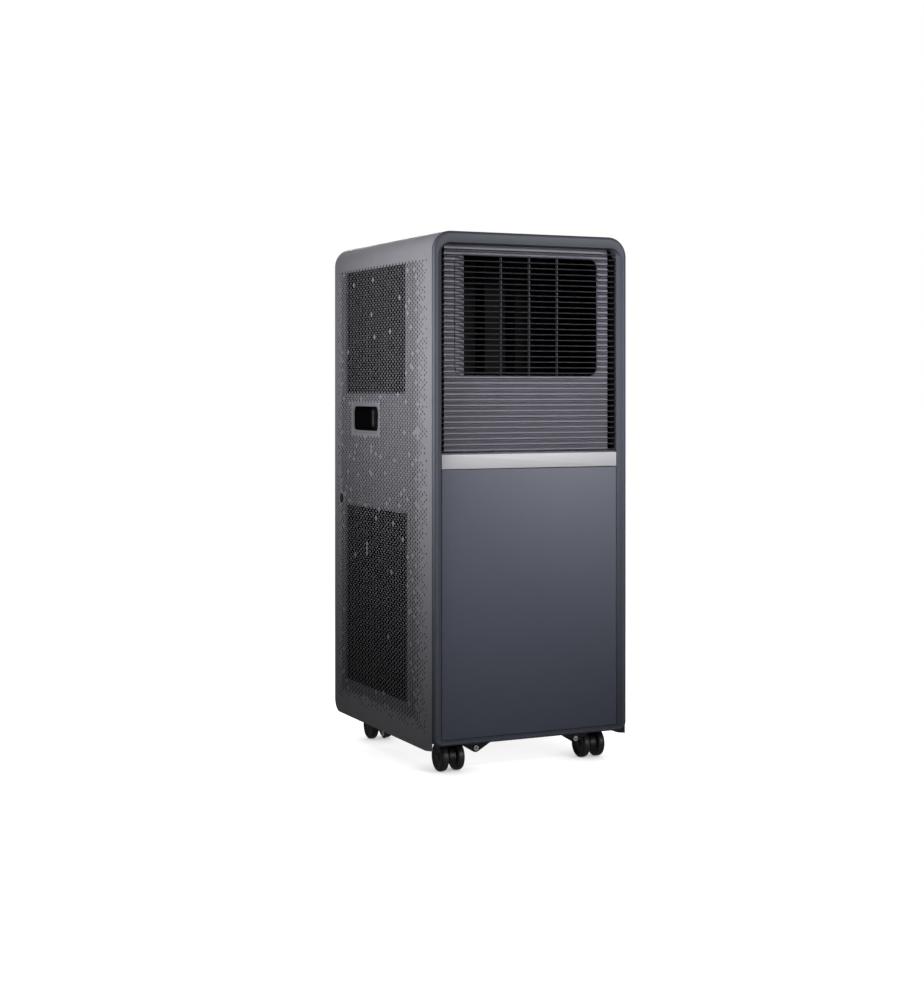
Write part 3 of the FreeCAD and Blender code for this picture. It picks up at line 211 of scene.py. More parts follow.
class Piece:
    """A mesh in the making, in millimetres, which becomes one named object."""

    def __init__(self):
        self.bm = bmesh.new()
        self.material = 0

    def face(self, verts):
        made = self.bm.faces.new(verts)
        made.material_index = self.material
        return made

    def skin(self, rings, close):
        """Faces between neighbouring rings of vertices, where a ring may be a single point."""
        pairs = list(zip(rings, rings[1:]))
        if close:
            pairs.append((rings[-1], rings[0]))
        for low, high in pairs:
            count = max(len(low), len(high))
            for i in range(count):
                j = (i + 1) % count
                if len(low) == 1:
                    self.face((low[0], high[j], high[i]))
                elif len(high) == 1:
                    self.face((low[i], low[j], high[0]))
                else:
                    self.face((low[i], low[j], high[j], high[i]))

    def loft(self, axis, sections, close=False):
        """Skin through (outline, along) sections that have the same number of points."""
        place = IN_PLANE[axis]
        rings = [[self.bm.verts.new(place(u, v, along)) for u, v in outline] for outline, along in sections]
        self.skin(rings, close)
        if not close:
            self.face(rings[0][::-1])
            self.face(rings[-1])

    def extrude(self, outline, axis, start, end, soft=0.4, steps=2):
        """Prism of an outline along an axis, with softened end edges."""
        angles = [math.pi / 2 * k / steps for k in range(steps + 1)]
        quarter = [(soft * (1 - math.sin(angle)), soft * (1 - math.cos(angle))) for angle in angles]
        sections = [(inset(outline, shrink), start + along) for shrink, along in quarter]
        sections += [(inset(outline, shrink), end - along) for shrink, along in reversed(quarter)]
        self.loft(axis, sections)

    def block(self, x, y, z, soft=0.4, steps=2):
        """Box between the (low, high) pairs with all edges rounded."""
        made = bmesh.ops.create_cube(self.bm, size=1.0)
        size = Vector((x[1] - x[0], y[1] - y[0], z[1] - z[0]))
        middle = Vector((x[0] + x[1], y[0] + y[1], z[0] + z[1])) / 2
        bmesh.ops.transform(self.bm, verts=made["verts"],
                            matrix=Matrix.Translation(middle) @ Matrix.Diagonal((*size, 1.0)))
        for face in {face for vert in made["verts"] for face in vert.link_faces}:
            face.material_index = self.material
        edges = list({edge for vert in made["verts"] for edge in vert.link_edges})
        if soft:
            bmesh.ops.bevel(self.bm, geom=edges, offset=min(soft, min(size) * 0.45), segments=steps,
                            profile=0.5, affect="EDGES", material=self.material)

    def lathe(self, axis, centre, profile, count=48, closed=False):
        """Turns (along, radius) points about an axis; a profile that isn't closed gets flat ends."""
        if not closed:
            profile = [(profile[0][0], 0.0), *profile, (profile[-1][0], 0.0)]
        place = IN_PLANE[axis]
        offset = Vector(centre)
        rings = []
        for along, radius in profile:
            points = ring_outline(0.0, 0.0, radius, count) if radius else [(0.0, 0.0)]
            rings.append([self.bm.verts.new(Vector(place(u, v, along)) + offset) for u, v in points])
        self.skin(rings, closed)

    def plate(self, outline, holes, axis, start, end, wall=0):
        """Flat sheet with convex holes, from start to end along an axis; wall is the holes' material."""
        place = IN_PLANE[axis]
        points, owners, edges = [], [], []
        for number, loop in enumerate([outline] + list(holes)):
            first = len(points)
            points += [Vector(point) for point in loop]
            owners += [number] * len(loop)
            edges += [(first + i, first + (i + 1) % len(loop)) for i in range(len(loop))]
        flat, _, triangles, origin, _, _ = delaunay_2d_cdt(points, edges, [], 1, 1e-6)
        owner = [owners[ids[0]] if ids else 0 for ids in origin]
        new = self.bm.verts.new
        front = [new(place(p.x, p.y, start)) for p in flat]
        back = [new(place(p.x, p.y, end)) for p in flat]
        for triangle in triangles:
            marks = {owner[i] for i in triangle}
            if len(marks) == 1 and marks != {0}:
                continue
            self.face([front[i] for i in triangle])
            self.face([back[i] for i in reversed(triangle)])
        where = {original: index for index, ids in enumerate(origin) for original in ids}
        for a, b in edges:
            i, j = where[a], where[b]
            if i != j:
                made = self.face((front[i], front[j], back[j], back[i]))
                if owners[a]:
                    made.material_index = wall

    def finish(self, name, materials, slot, *stands_for, body="root"):
        """Makes the object, rides it on its CAD body and hides the nodes it stands for."""
        bmesh.ops.recalc_face_normals(self.bm, faces=self.bm.faces[:])
        bmesh.ops.scale(self.bm, vec=(MM, MM, MM), verts=self.bm.verts[:])
        mesh = bpy.data.meshes.new(name)
        self.bm.to_mesh(mesh)
        self.bm.free()
        for polygon in mesh.polygons:
            polygon.use_smooth = True
        mesh.set_sharp_from_angle(angle=SHARP_ANGLE)
        for paint in materials if isinstance(materials, list) else [materials]:
            mesh.materials.append(paint)
        piece = add_object(name, mesh)
        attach(piece, body)
        if stands_for:
            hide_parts(*stands_for)


# -------- materials
def material(name, colour, roughness, mottle, grain, grain_size, metallic=0.0, mottle_size=30.0,
             gloss_spread=0.05, specular=0.5, stretch=(1.0, 1.0, 1.0), coat=0.0):
    """Principled material with mottled colour, varied roughness and fine bump; sizes in millimetres."""
    made = bpy.data.materials.new(name)
    made.use_nodes = True
    nodes = made.node_tree.nodes
    link = made.node_tree.links.new
    shader = nodes["Principled BSDF"]
    assign(shader, {"Metallic": metallic, "Specular IOR Level": specular, "Coat Weight": coat,
                    "Coat Roughness": 0.15})
    place = nodes.new("ShaderNodeTexCoord")
    scaled = nodes.new("ShaderNodeMapping")
    assign(scaled, {"Scale": stretch})
    link(place.outputs["Object"], scaled.inputs["Vector"])

    def noise(size, detail):
        node = nodes.new("ShaderNodeTexNoise")
        assign(node, {"Scale": 1.0 / (size * MM), "Detail": detail})
        link(scaled.outputs["Vector"], node.inputs["Vector"])
        return node

    broad = noise(mottle_size, 3.0)
    fine = noise(grain_size, 2.0)
    ramp = nodes.new("ShaderNodeValToRGB")
    dark, light = ramp.color_ramp.elements
    dark.position = 0.3
    dark.color = (*[c * (1 - mottle) for c in colour], 1.0)
    light.position = 0.7
    light.color = (*[min(1.0, c * (1 + mottle)) for c in colour], 1.0)
    link(broad.outputs["Fac"], ramp.inputs["Fac"])
    link(ramp.outputs["Color"], shader.inputs["Base Color"])
    gloss = nodes.new("ShaderNodeMapRange")
    assign(gloss, {"From Min": 0.3, "From Max": 0.7, "To Min": max(0.02, roughness - gloss_spread),
                   "To Max": min(1.0, roughness + gloss_spread)})
    link(fine.outputs["Fac"], gloss.inputs["Value"])
    link(gloss.outputs["Result"], shader.inputs["Roughness"])
    bump = nodes.new("ShaderNodeBump")
    assign(bump, {"Strength": grain, "Distance": grain_size * MM * 0.3})
    link(fine.outputs["Fac"], bump.inputs["Height"])
    link(bump.outputs["Normal"], shader.inputs["Normal"])
    return made


def grey(level, blue=1.06, green=None):
    """Linear colour from an 8-bit display level, slightly blue."""
    value = ((level / 255 + 0.055) / 1.055) ** 2.4
    return (value, value * (green or 1 + (blue - 1) * 0.2), value * blue)


# name, colour, roughness, mottle, grain, grain size
SHEET_PAINT = material("cabinet_paint", grey(138, 1.09, 0.975), 0.5, 0.03, 0.25, 0.7, specular=0.3)
# The walls of the holes and openings in the sides are painted near-black as the shade inside them.
HOLE_WALL_SHADE = material("hole_wall_painted_shade", grey(10, 1.1), 0.8, 0.15, 0.1, 0.5, mottle_size=4.0, specular=0.1)
LINER_PAINT = material("liner_paint", grey(109, 1.09, 0.98), 0.6, 0.03, 0.2, 0.7, specular=0.2)
BEZEL_PLASTIC = material("bezel_plastic", grey(66, 1.5), 0.55, 0.03, 0.15, 0.4)
PANEL_PLASTIC = material("panel_plastic", grey(75, 1.58), 0.52, 0.02, 0.12, 0.4)
SILVER = material("silver_trim", grey(183, 1.05, 0.99), 0.5, 0.02, 0.1, 0.8, mottle_size=20.0,
                  stretch=(0.04, 1.0, 1.0))
GRILLE_PLASTIC = material("grille_plastic", grey(32, 1.5, 0.98), 0.6, 0.03, 0.15, 0.4)
BACKING_PLASTIC = material("backing_plastic", grey(122, 1.24, 0.965), 0.5, 0.04, 0.2, 0.5)
BLACK_PLASTIC = material("black_plastic", grey(26, 1.05), 0.5, 0.1, 0.2, 0.6)
# Near-black for the duct, vanes and black inner parts, and painted shade on the grille's end rails, the
# backing's end channels and the screws' cross recesses.
BLACK_AND_SHADE = material("black_and_painted_shade", grey(5, 1.0), 0.85, 0.15, 0.25, 0.8, specular=0.05)
# Lit and shaded copies of the handle plastic, used as painted shade in the pocket.
HANDLE_PAINTED_SHADES = [material("handle_plastic_%d" % tone, grey(tone, 1.12), 0.5, 0.05, 0.2, 0.5, specular=0.3)
                for tone in (126, 122, 112, 98, 82, 64, 44, 26, 12)]
RUBBER = material("rubber", grey(34, 1.0), 0.7, 0.12, 0.3, 0.8)
TREAD = material("caster_tread", grey(46, 1.05), 0.42, 0.15, 0.3, 0.9)
CASTER = material("caster_plastic", grey(22, 1.05), 0.42, 0.12, 0.15, 0.5)
LENS = material("smoked_lens", grey(18, 1.1), 0.12, 0.1, 0.02, 0.5, coat=0.5, gloss_spread=0.02)
ZINC = material("zinc_steel", grey(200, 1.02), 0.28, 0.06, 0.1, 0.3, metallic=1.0, mottle_size=2.0)
STEEL_DARK = material("dark_steel", grey(110, 1.02), 0.4, 0.15, 0.15, 0.5, metallic=0.9, mottle_size=8.0)
FINS = material("coil_aluminium", grey(185, 1.02), 0.38, 0.3, 0.5, 1.6, metallic=0.9, mottle_size=2.0,
                stretch=(1.0, 1.0, 0.03))
ENAMEL = material("compressor_enamel", grey(20, 1.0), 0.3, 0.1, 0.15, 2.5, mottle_size=25.0, coat=0.3)
COPPER = material("copper", (0.76, 0.33, 0.18), 0.32, 0.15, 0.08, 0.5, metallic=1.0, mottle_size=12.0,
                  gloss_spread=0.1)
BLOWER_PLASTIC = material("blower_plastic", grey(12, 1.0), 0.7, 0.08, 0.25, 0.9, specular=0.15)
KEY_PLASTIC = material("key_plastic", grey(60, 1.15), 0.45, 0.05, 0.15, 0.4)
ICON = material("icon_print", grey(205, 1.02), 0.5, 0.02, 0.05, 0.3)
FILTER_FRAME = material("filter_frame", grey(14, 1.0), 0.6, 0.15, 0.2, 0.6, specular=0.2)
NET = material("filter_net", grey(4, 1.0), 0.8, 0.2, 0.4, 0.6, mottle_size=3.0, specular=0.1)
# Near-white paint on the screw heads: light zinc, brightened into a painted glint.
SCREW_ZINC_AND_GLINT = material("screw_zinc_and_painted_glint", grey(238, 1.02), 0.3, 0.05, 0.1, 0.3, metallic=0.1, mottle_size=2.0)


# -------- cabinet sheet
def hole_radius(y, z, chance):
    """Radius of the hole at a place of the pattern, or 0 where there is none."""
    for low_y, high_y, low_z, high_z in (UPPER_ZONE, LOWER_ZONE):
        if low_y < y < high_y and low_z < z < high_z:
            return 0.0 if chance.random() < OPEN_MISSING else OPEN_HOLE
    from_front = (y - FIELD_Y[0]) / FRONT_FADE
    from_rear = (FIELD_Y[1] - y) / REAR_FADE
    depth = min(from_front, from_rear, (z - FIELD_Z[0]) / FOOT_FADE, 1.0)
    draw = chance.random()
    size = chance.random()
    if z > UPPER_ZONE[3]:
        return 0.0
    if depth < 0.4:
        return 0.0 if draw > 0.4 + depth else 1.15 + 0.9 * depth + 0.3 * size
    if depth < 0.6:
        return 0.0 if draw > 0.85 else CLOSED_HOLE - 0.6 + 0.3 * size
    in_middle_band = LOWER_ZONE[3] < z < UPPER_ZONE[2]
    return 0.0 if draw < (0.035 if in_middle_band else 0.05) else CLOSED_HOLE


def side_holes():
    """(y, z, radius) of every hole in one side."""
    chance = random.Random(11)
    holes = []
    columns = int((FIELD_Y[1] - FIELD_Y[0]) / HOLE_COLUMN) + 1
    rows = int((FIELD_Z[1] - FIELD_Z[0]) / HOLE_ROW) + 1
    for column in range(columns):
        y = FIELD_Y[1] - column * HOLE_COLUMN
        for row in range(rows):
            z = FIELD_Z[0] + row * HOLE_ROW + (column % 2) * HOLE_ROW / 2
            radius = hole_radius(y, z, chance)
            near_handle = (handle_low.y - 3.0 < y < handle_high.y + 3.0
                           and handle_low.z - 3.0 < z < handle_high.z + 3.0)
            near_plug = math.hypot(y - PLUG.y, z - PLUG.z) < 11.0
            if radius and not near_handle and not near_plug:
                holes.append((y, z, radius))
    return holes


HANDLE_HOLE = box_outline("X", (handle_low, handle_high), 0.0, 12.7)
PLUG_HOLE = ring_outline(PLUG.y, PLUG.z, PLUG_RADIUS + 0.3, 32)
BEND_START = TOP - TOP_RADIUS - 3.0
SPLIT = FIELD_Y[1] - 29.5 * HOLE_COLUMN


def split_line():
    """Zigzag from the bend down to the foot that passes between two columns of holes."""
    lean = (HOLE_COLUMN ** 2 - (HOLE_ROW / 2) ** 2) / (2 * HOLE_COLUMN)
    swing = HOLE_COLUMN / 2 - lean
    rows = int((FIELD_Z[1] - FIELD_Z[0]) / HOLE_ROW) + 1
    points = [(SPLIT, BEND_START)]
    for k in range(2 * rows, -1, -1):
        points.append((SPLIT + (swing if k % 2 == 0 else -swing), FIELD_Z[0] + k * HOLE_ROW / 2))
    return points + [(SPLIT, SHEET_FOOT)]


def cabinet_side(side):
    """One perforated side in a front and a rear half; side is -1 for the left and 1 for the right."""
    between = split_line()
    front_outline = [(SHEET_FRONT, SHEET_FOOT + 3.0), (SHEET_FRONT + 21.0, SHEET_FOOT)] + between[::-1]
    front_outline += [(SHEET_FRONT, BEND_START)]
    rear_outline = arc(REAR - HEEL_RADIUS, SHEET_FOOT + HEEL_RADIUS, HEEL_RADIUS, -90, 0, 10)
    rear_outline += [(REAR, BEND_START)] + between
    rear_openings = [HANDLE_HOLE, PLUG_HOLE] if side < 0 else [HANDLE_HOLE]
    for half, outline, openings in (("front", front_outline, []), ("rear", rear_outline, rear_openings)):
        for y, z, radius in side_holes():
            if (y < SPLIT) == (half == "front"):
                count = 12 if radius > 2.6 else 10
                openings.append(ring_outline(y, z, radius, count, math.pi / count))
        piece = Piece()
        # wall=1 gives the walls of the holes the painted shade.
        piece.plate(outline, openings, "X", side * SIDE, side * (SIDE - SKIN), wall=1)
        piece.finish("wrap_%s_%s" % (SIDE_NAMES[side], half), [SHEET_PAINT, HOLE_WALL_SHADE], "cabinet_sheet",
                     "cabinet_wrap")


def wrap_top():
    """The bends and the flat top, with the opening for the controls."""
    fascia_low, fascia_high = mm_box("control_fascia")
    path = [(-SIDE, BEND_START)] + arc(-SIDE + TOP_RADIUS, TOP - TOP_RADIUS, TOP_RADIUS, 180, 90, 16)
    path.append((fascia_low.x + FASCIA_FLANGE, TOP))
    path += [(-x, z) for x, z in reversed(path)]
    stations = [SHEET_FRONT, fascia_low.y + FASCIA_FLANGE, fascia_high.y - FASCIA_FLANGE, REAR]
    piece = Piece()

    def inward(x, z):
        """The same point of the path, one skin thickness further in."""
        if z <= TOP - TOP_RADIUS:
            return (math.copysign(abs(x) - SKIN, x), z)
        if abs(x) <= SIDE - TOP_RADIUS:
            return (x, z - SKIN)
        shrink = 1 - SKIN / TOP_RADIUS
        over_x = abs(x) - (SIDE - TOP_RADIUS)
        over_z = z - (TOP - TOP_RADIUS)
        return (math.copysign(SIDE - TOP_RADIUS + over_x * shrink, x), TOP - TOP_RADIUS + over_z * shrink)

    new = piece.bm.verts.new
    outer = [[new((x, y, z)) for x, z in path] for y in stations]
    inner = [[new((ix, y, iz)) for ix, iz in (inward(x, z) for x, z in path)] for y in stations]
    middle = len(path) // 2 - 1
    cells = {(i, k) for i in range(3) for k in range(len(path) - 1) if not (i == 1 and k == middle)}
    for i, k in cells:
        piece.face((outer[i][k], outer[i][k + 1], outer[i + 1][k + 1], outer[i + 1][k]))
        piece.face((inner[i][k], inner[i + 1][k], inner[i + 1][k + 1], inner[i][k + 1]))
        borders = (((i - 1, k), (i, k), (i, k + 1)), ((i + 1, k), (i + 1, k), (i + 1, k + 1)),
                   ((i, k - 1), (i, k), (i + 1, k)), ((i, k + 1), (i, k + 1), (i + 1, k + 1)))
        for neighbour, (a, b), (c, d) in borders:
            if neighbour not in cells:
                piece.face((outer[a][b], outer[c][d], inner[c][d], inner[a][b]))
    piece.finish("wrap_top", SHEET_PAINT, "cabinet_sheet", "cabinet_wrap")


def liner(side):
    """Thin sheet behind the closed part of the pattern, with windows in front of the filters."""
    outline = rounded_rect(SHEET_FRONT + 3.0, REAR - 10.0, FOOT + 22.0, TOP - TOP_RADIUS - 4.0, 2.0)
    windows = [rounded_rect(low_y + 1.0, high_y - 1.0, low_z + 1.0, high_z - 1.0, 1.0, 3)
               for low_y, high_y, low_z, high_z in (UPPER_ZONE, LOWER_ZONE)]
    windows.append(box_outline("X", (handle_low, handle_high), -2.0, 10.0))
    windows.append(ring_outline(PLUG.y, PLUG.z, PLUG_RADIUS + 1.5, 24))
    piece = Piece()
    piece.plate(outline, windows, "X", side * (SIDE - SKIN - 0.04), side * (SIDE - SKIN - 0.5))
    piece.finish("liner_" + SIDE_NAMES[side], LINER_PAINT, "cabinet_sheet")


for side in (-1, 1):
    cabinet_side(side)
    liner(side)
wrap_top()


# -------- front
def bezel_loop(side, top, foot, top_radius, foot_radius, y):
    """Outline at one depth; side, top and foot are the distances in from the bezel's outside."""
    outline = rounded_rect(-SIDE + side, SIDE - side, BEZEL_FOOT + foot, TOP - top,
                           (foot_radius, foot_radius, top_radius, top_radius), 10)
    return outline, y


def front_bezel():
    """Moulded ring that laps onto the sheet, with sloped inner faces and ledges for the covers."""
    lip_rear = SHEET_FRONT - 0.3
    round_edge = 5.2
    loops = []
    for inward, y in ((1.8, BEZEL_REAR), (1.8, lip_rear), (0.4, lip_rear)):
        loops.append(bezel_loop(inward, inward, 0.0, TOP_RADIUS - inward, FOOT_RADIUS, y))
    depth = lip_rear - 0.3 - FRONT
    for k in range(9):
        angle = math.pi / 2 * k / 8
        edge = round_edge * (1 - math.cos(angle))
        low = edge * 0.65
        loops.append(bezel_loop(edge, edge, low, TOP_RADIUS - edge, FOOT_RADIUS - low,
                                lip_rear - 0.3 - depth * math.sin(angle)))
    # The slopes run from the crown down to the covers; the top rail stays flat almost to its edge.
    for side, above, below, radius, foot_radius, drop in (
            (CROWN - 0.4, TOP_RAIL - 1.3, 3.6, 20.0, 6.0, 0.0), (CROWN, TOP_RAIL - 1.0, 3.9, 19.7, 5.5, 0.1),
            (CROWN + 0.5, TOP_RAIL - 0.8, 4.2, 19.2, 5.0, 0.42),
            (JAMB - 0.5, TOP_RAIL - 0.2, FOOT_RAIL - 0.4, FIELD_RADIUS + 0.5, 1.0, SETBACK - 0.35),
            (JAMB, TOP_RAIL, FOOT_RAIL, FIELD_RADIUS, 0.5, SETBACK + 0.3)):
        loops.append(bezel_loop(side, above, below, radius, foot_radius, FRONT + drop))
    loops.append(bezel_loop(JAMB, TOP_RAIL, FOOT_RAIL, FIELD_RADIUS, 0.5, BEZEL_REAR))
    piece = Piece()
    piece.loft("Y", loops, close=True)
    ledge = 8.0
    ledge_y = (panel_low.y + 3.05, panel_low.y + 5.0)
    ledge_foot = BEZEL_FOOT + FOOT_RAIL
    piece.block((-FIELD - 0.5, -FIELD + ledge), ledge_y, (ledge_foot, strip_high.z), 0.2)
    piece.block((FIELD - ledge, FIELD + 0.5), ledge_y, (ledge_foot, strip_high.z), 0.2)
    piece.block((-FIELD, FIELD), ledge_y, (ledge_foot, ledge_foot + ledge), 0.2)
    piece.block((-FIELD, FIELD), (ledge_y[0], BEZEL_REAR), (strip_low.z - ledge, strip_high.z + 2.0), 0.2)
    piece.finish("bezel", BEZEL_PLASTIC, "bezel_plastic", "front_bezel")


def cover(low, high, radius):
    """Flat cover of 3 mm with softened front edges."""
    piece = Piece()
    piece.extrude(box_outline("Y", (low, high), -0.2, radius, 4), "Y", low.y, low.y + 3.0, 0.6, 3)
    return piece


def front_covers():
    """The lower panel with its four clips, and the silver strip."""
    panel = cover(panel_low, panel_high, 1.5)
    for x in (panel_low.x + 12.0, panel_high.x - 12.0):
        for z in (panel_low.z + 40.0, panel_high.z - 40.0):
            panel.block(span(x, 3.0), (panel_low.y + 3.0, panel_high.y), span(z, 6.0), 0.6)
    panel.finish("panel", PANEL_PLASTIC, "panel_plastic", "front_panel")
    cover(strip_low, strip_high, 0.6).finish("strip", SILVER, "silver_trim", "trim_strip")


def grille():
    """Slats with rounded noses, upright ribs across the outlet and the end rails."""
    piece = Piece()
    for number in range(SLATS):
        z = LOWEST_SLAT + number * SLAT_PITCH
        half = SLAT_HALF if number < SLATS - 1 else SLAT_HALF - 2.6
        section = rounded_rect(SLAT_FRONT, SLAT_FRONT + SLAT_DEPTH, z - SLAT_THICK / 2, z + SLAT_THICK / 2,
                               (0.7, 0.3, 0.3, 0.7), 3)
        piece.extrude(section, "X", -half, half, 0.2, 1)
    for x in (-RIB_SPACING, 0.0, RIB_SPACING):
        piece.block(span(x, 0.9), (SLAT_FRONT + 4.2, SLAT_FRONT + 9.0), (OUTLET[2], OUTLET[3]), 0.3)
    rail_y = (SLAT_FRONT + 4.6, backing_low.y)
    # The end rails are painted near-black as the shade at the grille's ends.
    piece.material = 1
    for side in (-1, 1):
        middle = side * (SLAT_HALF - 2.1)
        piece.block(span(middle, 2.1), rail_y, (GRILLE_FOOT, GRILLE_TOP - 12.0), 0.3)
    piece.finish("grille", [GRILLE_PLASTIC, BLACK_AND_SHADE], "grille_plastic", "front_grille")


def backing():
    """Plate behind the slats with a lip round the outlet, stepping back at its ends into channels painted
    near-black as shade.
    """
    piece = Piece()
    half = FIELD - 9.0
    outline = rounded_rect(-half, half, backing_low.z, backing_high.z, (0.5, 0.5, 4.0, 4.0), 8)
    outlet = rounded_rect(*OUTLET, OUTLET_RADIUS, 8)
    piece.plate(outline, [outlet], "Y", backing_low.y, backing_low.y + 1.6)
    # The end channels are painted near-black as shade.
    piece.material = 1
    channel_z = (backing_low.z, backing_high.z - 6.0)
    for side in (-1, 1):
        for reach, front in ((backing_high.x, backing_high.y - 1.6), (half + 0.05, backing_low.y + 0.6)):
            across = sorted((side * (half - 1.6), side * reach))
            piece.block(across, (front, backing_high.y), channel_z, 0.2)
    piece.material = 0
    lip = ((1.6, 0.0), (1.3, -0.7), (0.6, -1.0), (0.0, -0.7), (-0.1, 0.2), (0.1, 1.4), (1.6, 1.4))
    piece.loft("Y", [(inset(outlet, -grow), backing_low.y + y) for grow, y in lip], close=True)
    piece.finish("backing", [BACKING_PLASTIC, BLACK_AND_SHADE], "backing_plastic", "grille_backing")


def duct():
    """Black box behind the outlet, and the rounded shoulder on its left."""
    piece = Piece()
    front, back = duct_low.y, duct_high.y
    outer = box_outline("Y", (duct_low, duct_high), 0.0, 1.0, 8)
    inner = rounded_rect(*OUTLET, OUTLET_RADIUS, 8)
    piece.loft("Y", [(inner, front), (inner, back), (outer, back), (outer, front)], close=True)
    piece.finish("duct", BLACK_AND_SHADE, "black_plastic", "outlet_duct")
    shoulder = Piece()
    left = OUTLET[0] - 0.5
    right = OUTLET[0] + OUTLET_FLARE
    radius = OUTLET_FLARE - 1.0
    section = [(left, front)] + arc(right - radius, front + radius, radius, -90, 0, 12)
    section += [(right, back - 0.5), (left, back - 0.5)]
    shoulder.extrude(section, "Z", OUTLET[2] - 0.5, OUTLET[3] + 0.5, 0.2, 1)
    shoulder.finish("duct_shoulder", BACKING_PLASTIC, "backing_plastic", "outlet_duct")


front_bezel()
front_covers()
grille()
backing()
duct()


# -------- vanes
def vanes():
    """Four blades, each with a pivot at both ends and a pin for the link."""
    foot = OUTLET[2] + 6.4
    head = OUTLET[3] - 4.9
    for number in range(1, 5):
        node = "vane_%d" % number
        low, high = mm_box(node)
        x, y, _ = (low + high) / 2
        # The blade is 29.8 mm deep, blunt at its front and thin at its rear edge.
        blade = [(x + 0.95 * cos * (1.0 - 0.35 * sin), y + 14.9 * sin)
                 for cos, sin in ring_outline(0.0, 0.0, 1.0, 24)]
        piece = Piece()
        piece.extrude(blade, "Z", foot, head, 0.3)
        piece.lathe("Z", (x, y, 0.0), [(low.z, 1.7), (low.z + 0.3, 2.0), (foot + 2.0, 2.0)], 20)
        piece.lathe("Z", (x, y, 0.0), [(high.z, 1.7), (high.z - 0.3, 2.0), (head - 2.0, 2.0)], 20)
        pin = [(OUTLET[2] + 1.2, 1.3), (OUTLET[2] + 1.5, 1.5), (foot + 1.0, 1.5)]
        piece.lathe("Z", (x, y + 12.0, 0.0), pin, 16)
        piece.finish(node + "_blade", BLACK_AND_SHADE, "vane_plastic", node, body=node)


vanes()


# -------- handles and side plug
def handle(side):
    """Grip cup with a raised rim and a floor that curves up to its front end."""
    floor_depth = 31.5
    scoop_start = 3.0
    scoop = floor_depth - scoop_start
    floor_fillet = 5.0
    steps = 12
    rim = 4.7

    def loop(grow, depth, front=0.0):
        edge = rim - grow
        outline = rounded_rect(handle_low.y + edge + front, handle_high.y - edge, handle_low.z + edge,
                               handle_high.z - edge, 8.0 + grow, 8)
        return outline, side * (SIDE - depth)

    rim_section = ((2.2, floor_depth + 2.0), (2.5, 2.2), (rim, 2.0), (rim, 0.5), (4.3, 0.1), (3.9, 0.0),
                   (1.2, 0.0), (0.5, 0.2), (0.1, 0.8), (0.0, 1.8))
    loops = [loop(grow, depth) for grow, depth in rim_section]
    for k in range(1, steps + 1):
        angle = math.pi / 2 * k / steps
        depth = scoop_start + scoop * math.sin(angle)
        shrink = max(0.0, depth - (floor_depth - floor_fillet))
        fillet = floor_fillet - math.sqrt(max(0.0, floor_fillet ** 2 - shrink ** 2))
        depth = min(depth, floor_depth - 0.01 * (steps - k))
        loops.append(loop(-fillet, depth, scoop * (1 - math.cos(angle))))
    piece = Piece()
    piece.loft("X", loops)
    # Painted shade: the rim is as light as the sheet, the scoop is painted darker away from its front end,
    # and the rest is painted dark.
    piece.bm.normal_update()
    darkest = len(HANDLE_PAINTED_SHADES) - 1
    for face in piece.bm.faces:
        centre = face.calc_center_median()
        reach = max(0.0, (centre.y - handle_low.y - rim) / scoop)
        if SIDE - abs(centre.x) < 1.0:
            face.material_index = 0
        elif abs(face.normal.z) > 0.8:
            face.material_index = darkest
        else:
            face.material_index = min(darkest, 1 + int(reach * darkest))
    name = SIDE_NAMES[side]
    piece.finish("handle_" + name, HANDLE_PAINTED_SHADES, "handle_plastic", "handle_cup_" + name)


def side_plug():
    """Round drain plug with a stepped face and a slot."""
    piece = Piece()
    face = plug_low.x
    rear = plug_high.x
    profile = [(face + 0.5, 2.2), (face + 0.1, 2.6), (face, 3.0), (face, 5.6), (face + 0.5, 5.9),
               (face + 0.5, 6.3), (face, 6.6), (face + 0.25, PLUG_RADIUS), (face + 1.2, PLUG_RADIUS),
               (face + 1.2, 4.9), (rear - 1.5, 4.9), (rear - 1.2, 5.0), (rear - 0.6, 4.6), (rear, 3.8)]
    piece.lathe("X", (0.0, PLUG.y, PLUG.z), profile, 40)
    piece.block((face + 0.05, face + 0.8), span(PLUG.y, 0.6), span(PLUG.z, 2.3), 0.15)
    piece.finish("side_plug", RUBBER, "rubber_black", "side_drain_plug", body="side_drain_plug")


for side in (-1, 1):
    handle(side)
side_plug()


# -------- filters
NET_PITCH = 4.0


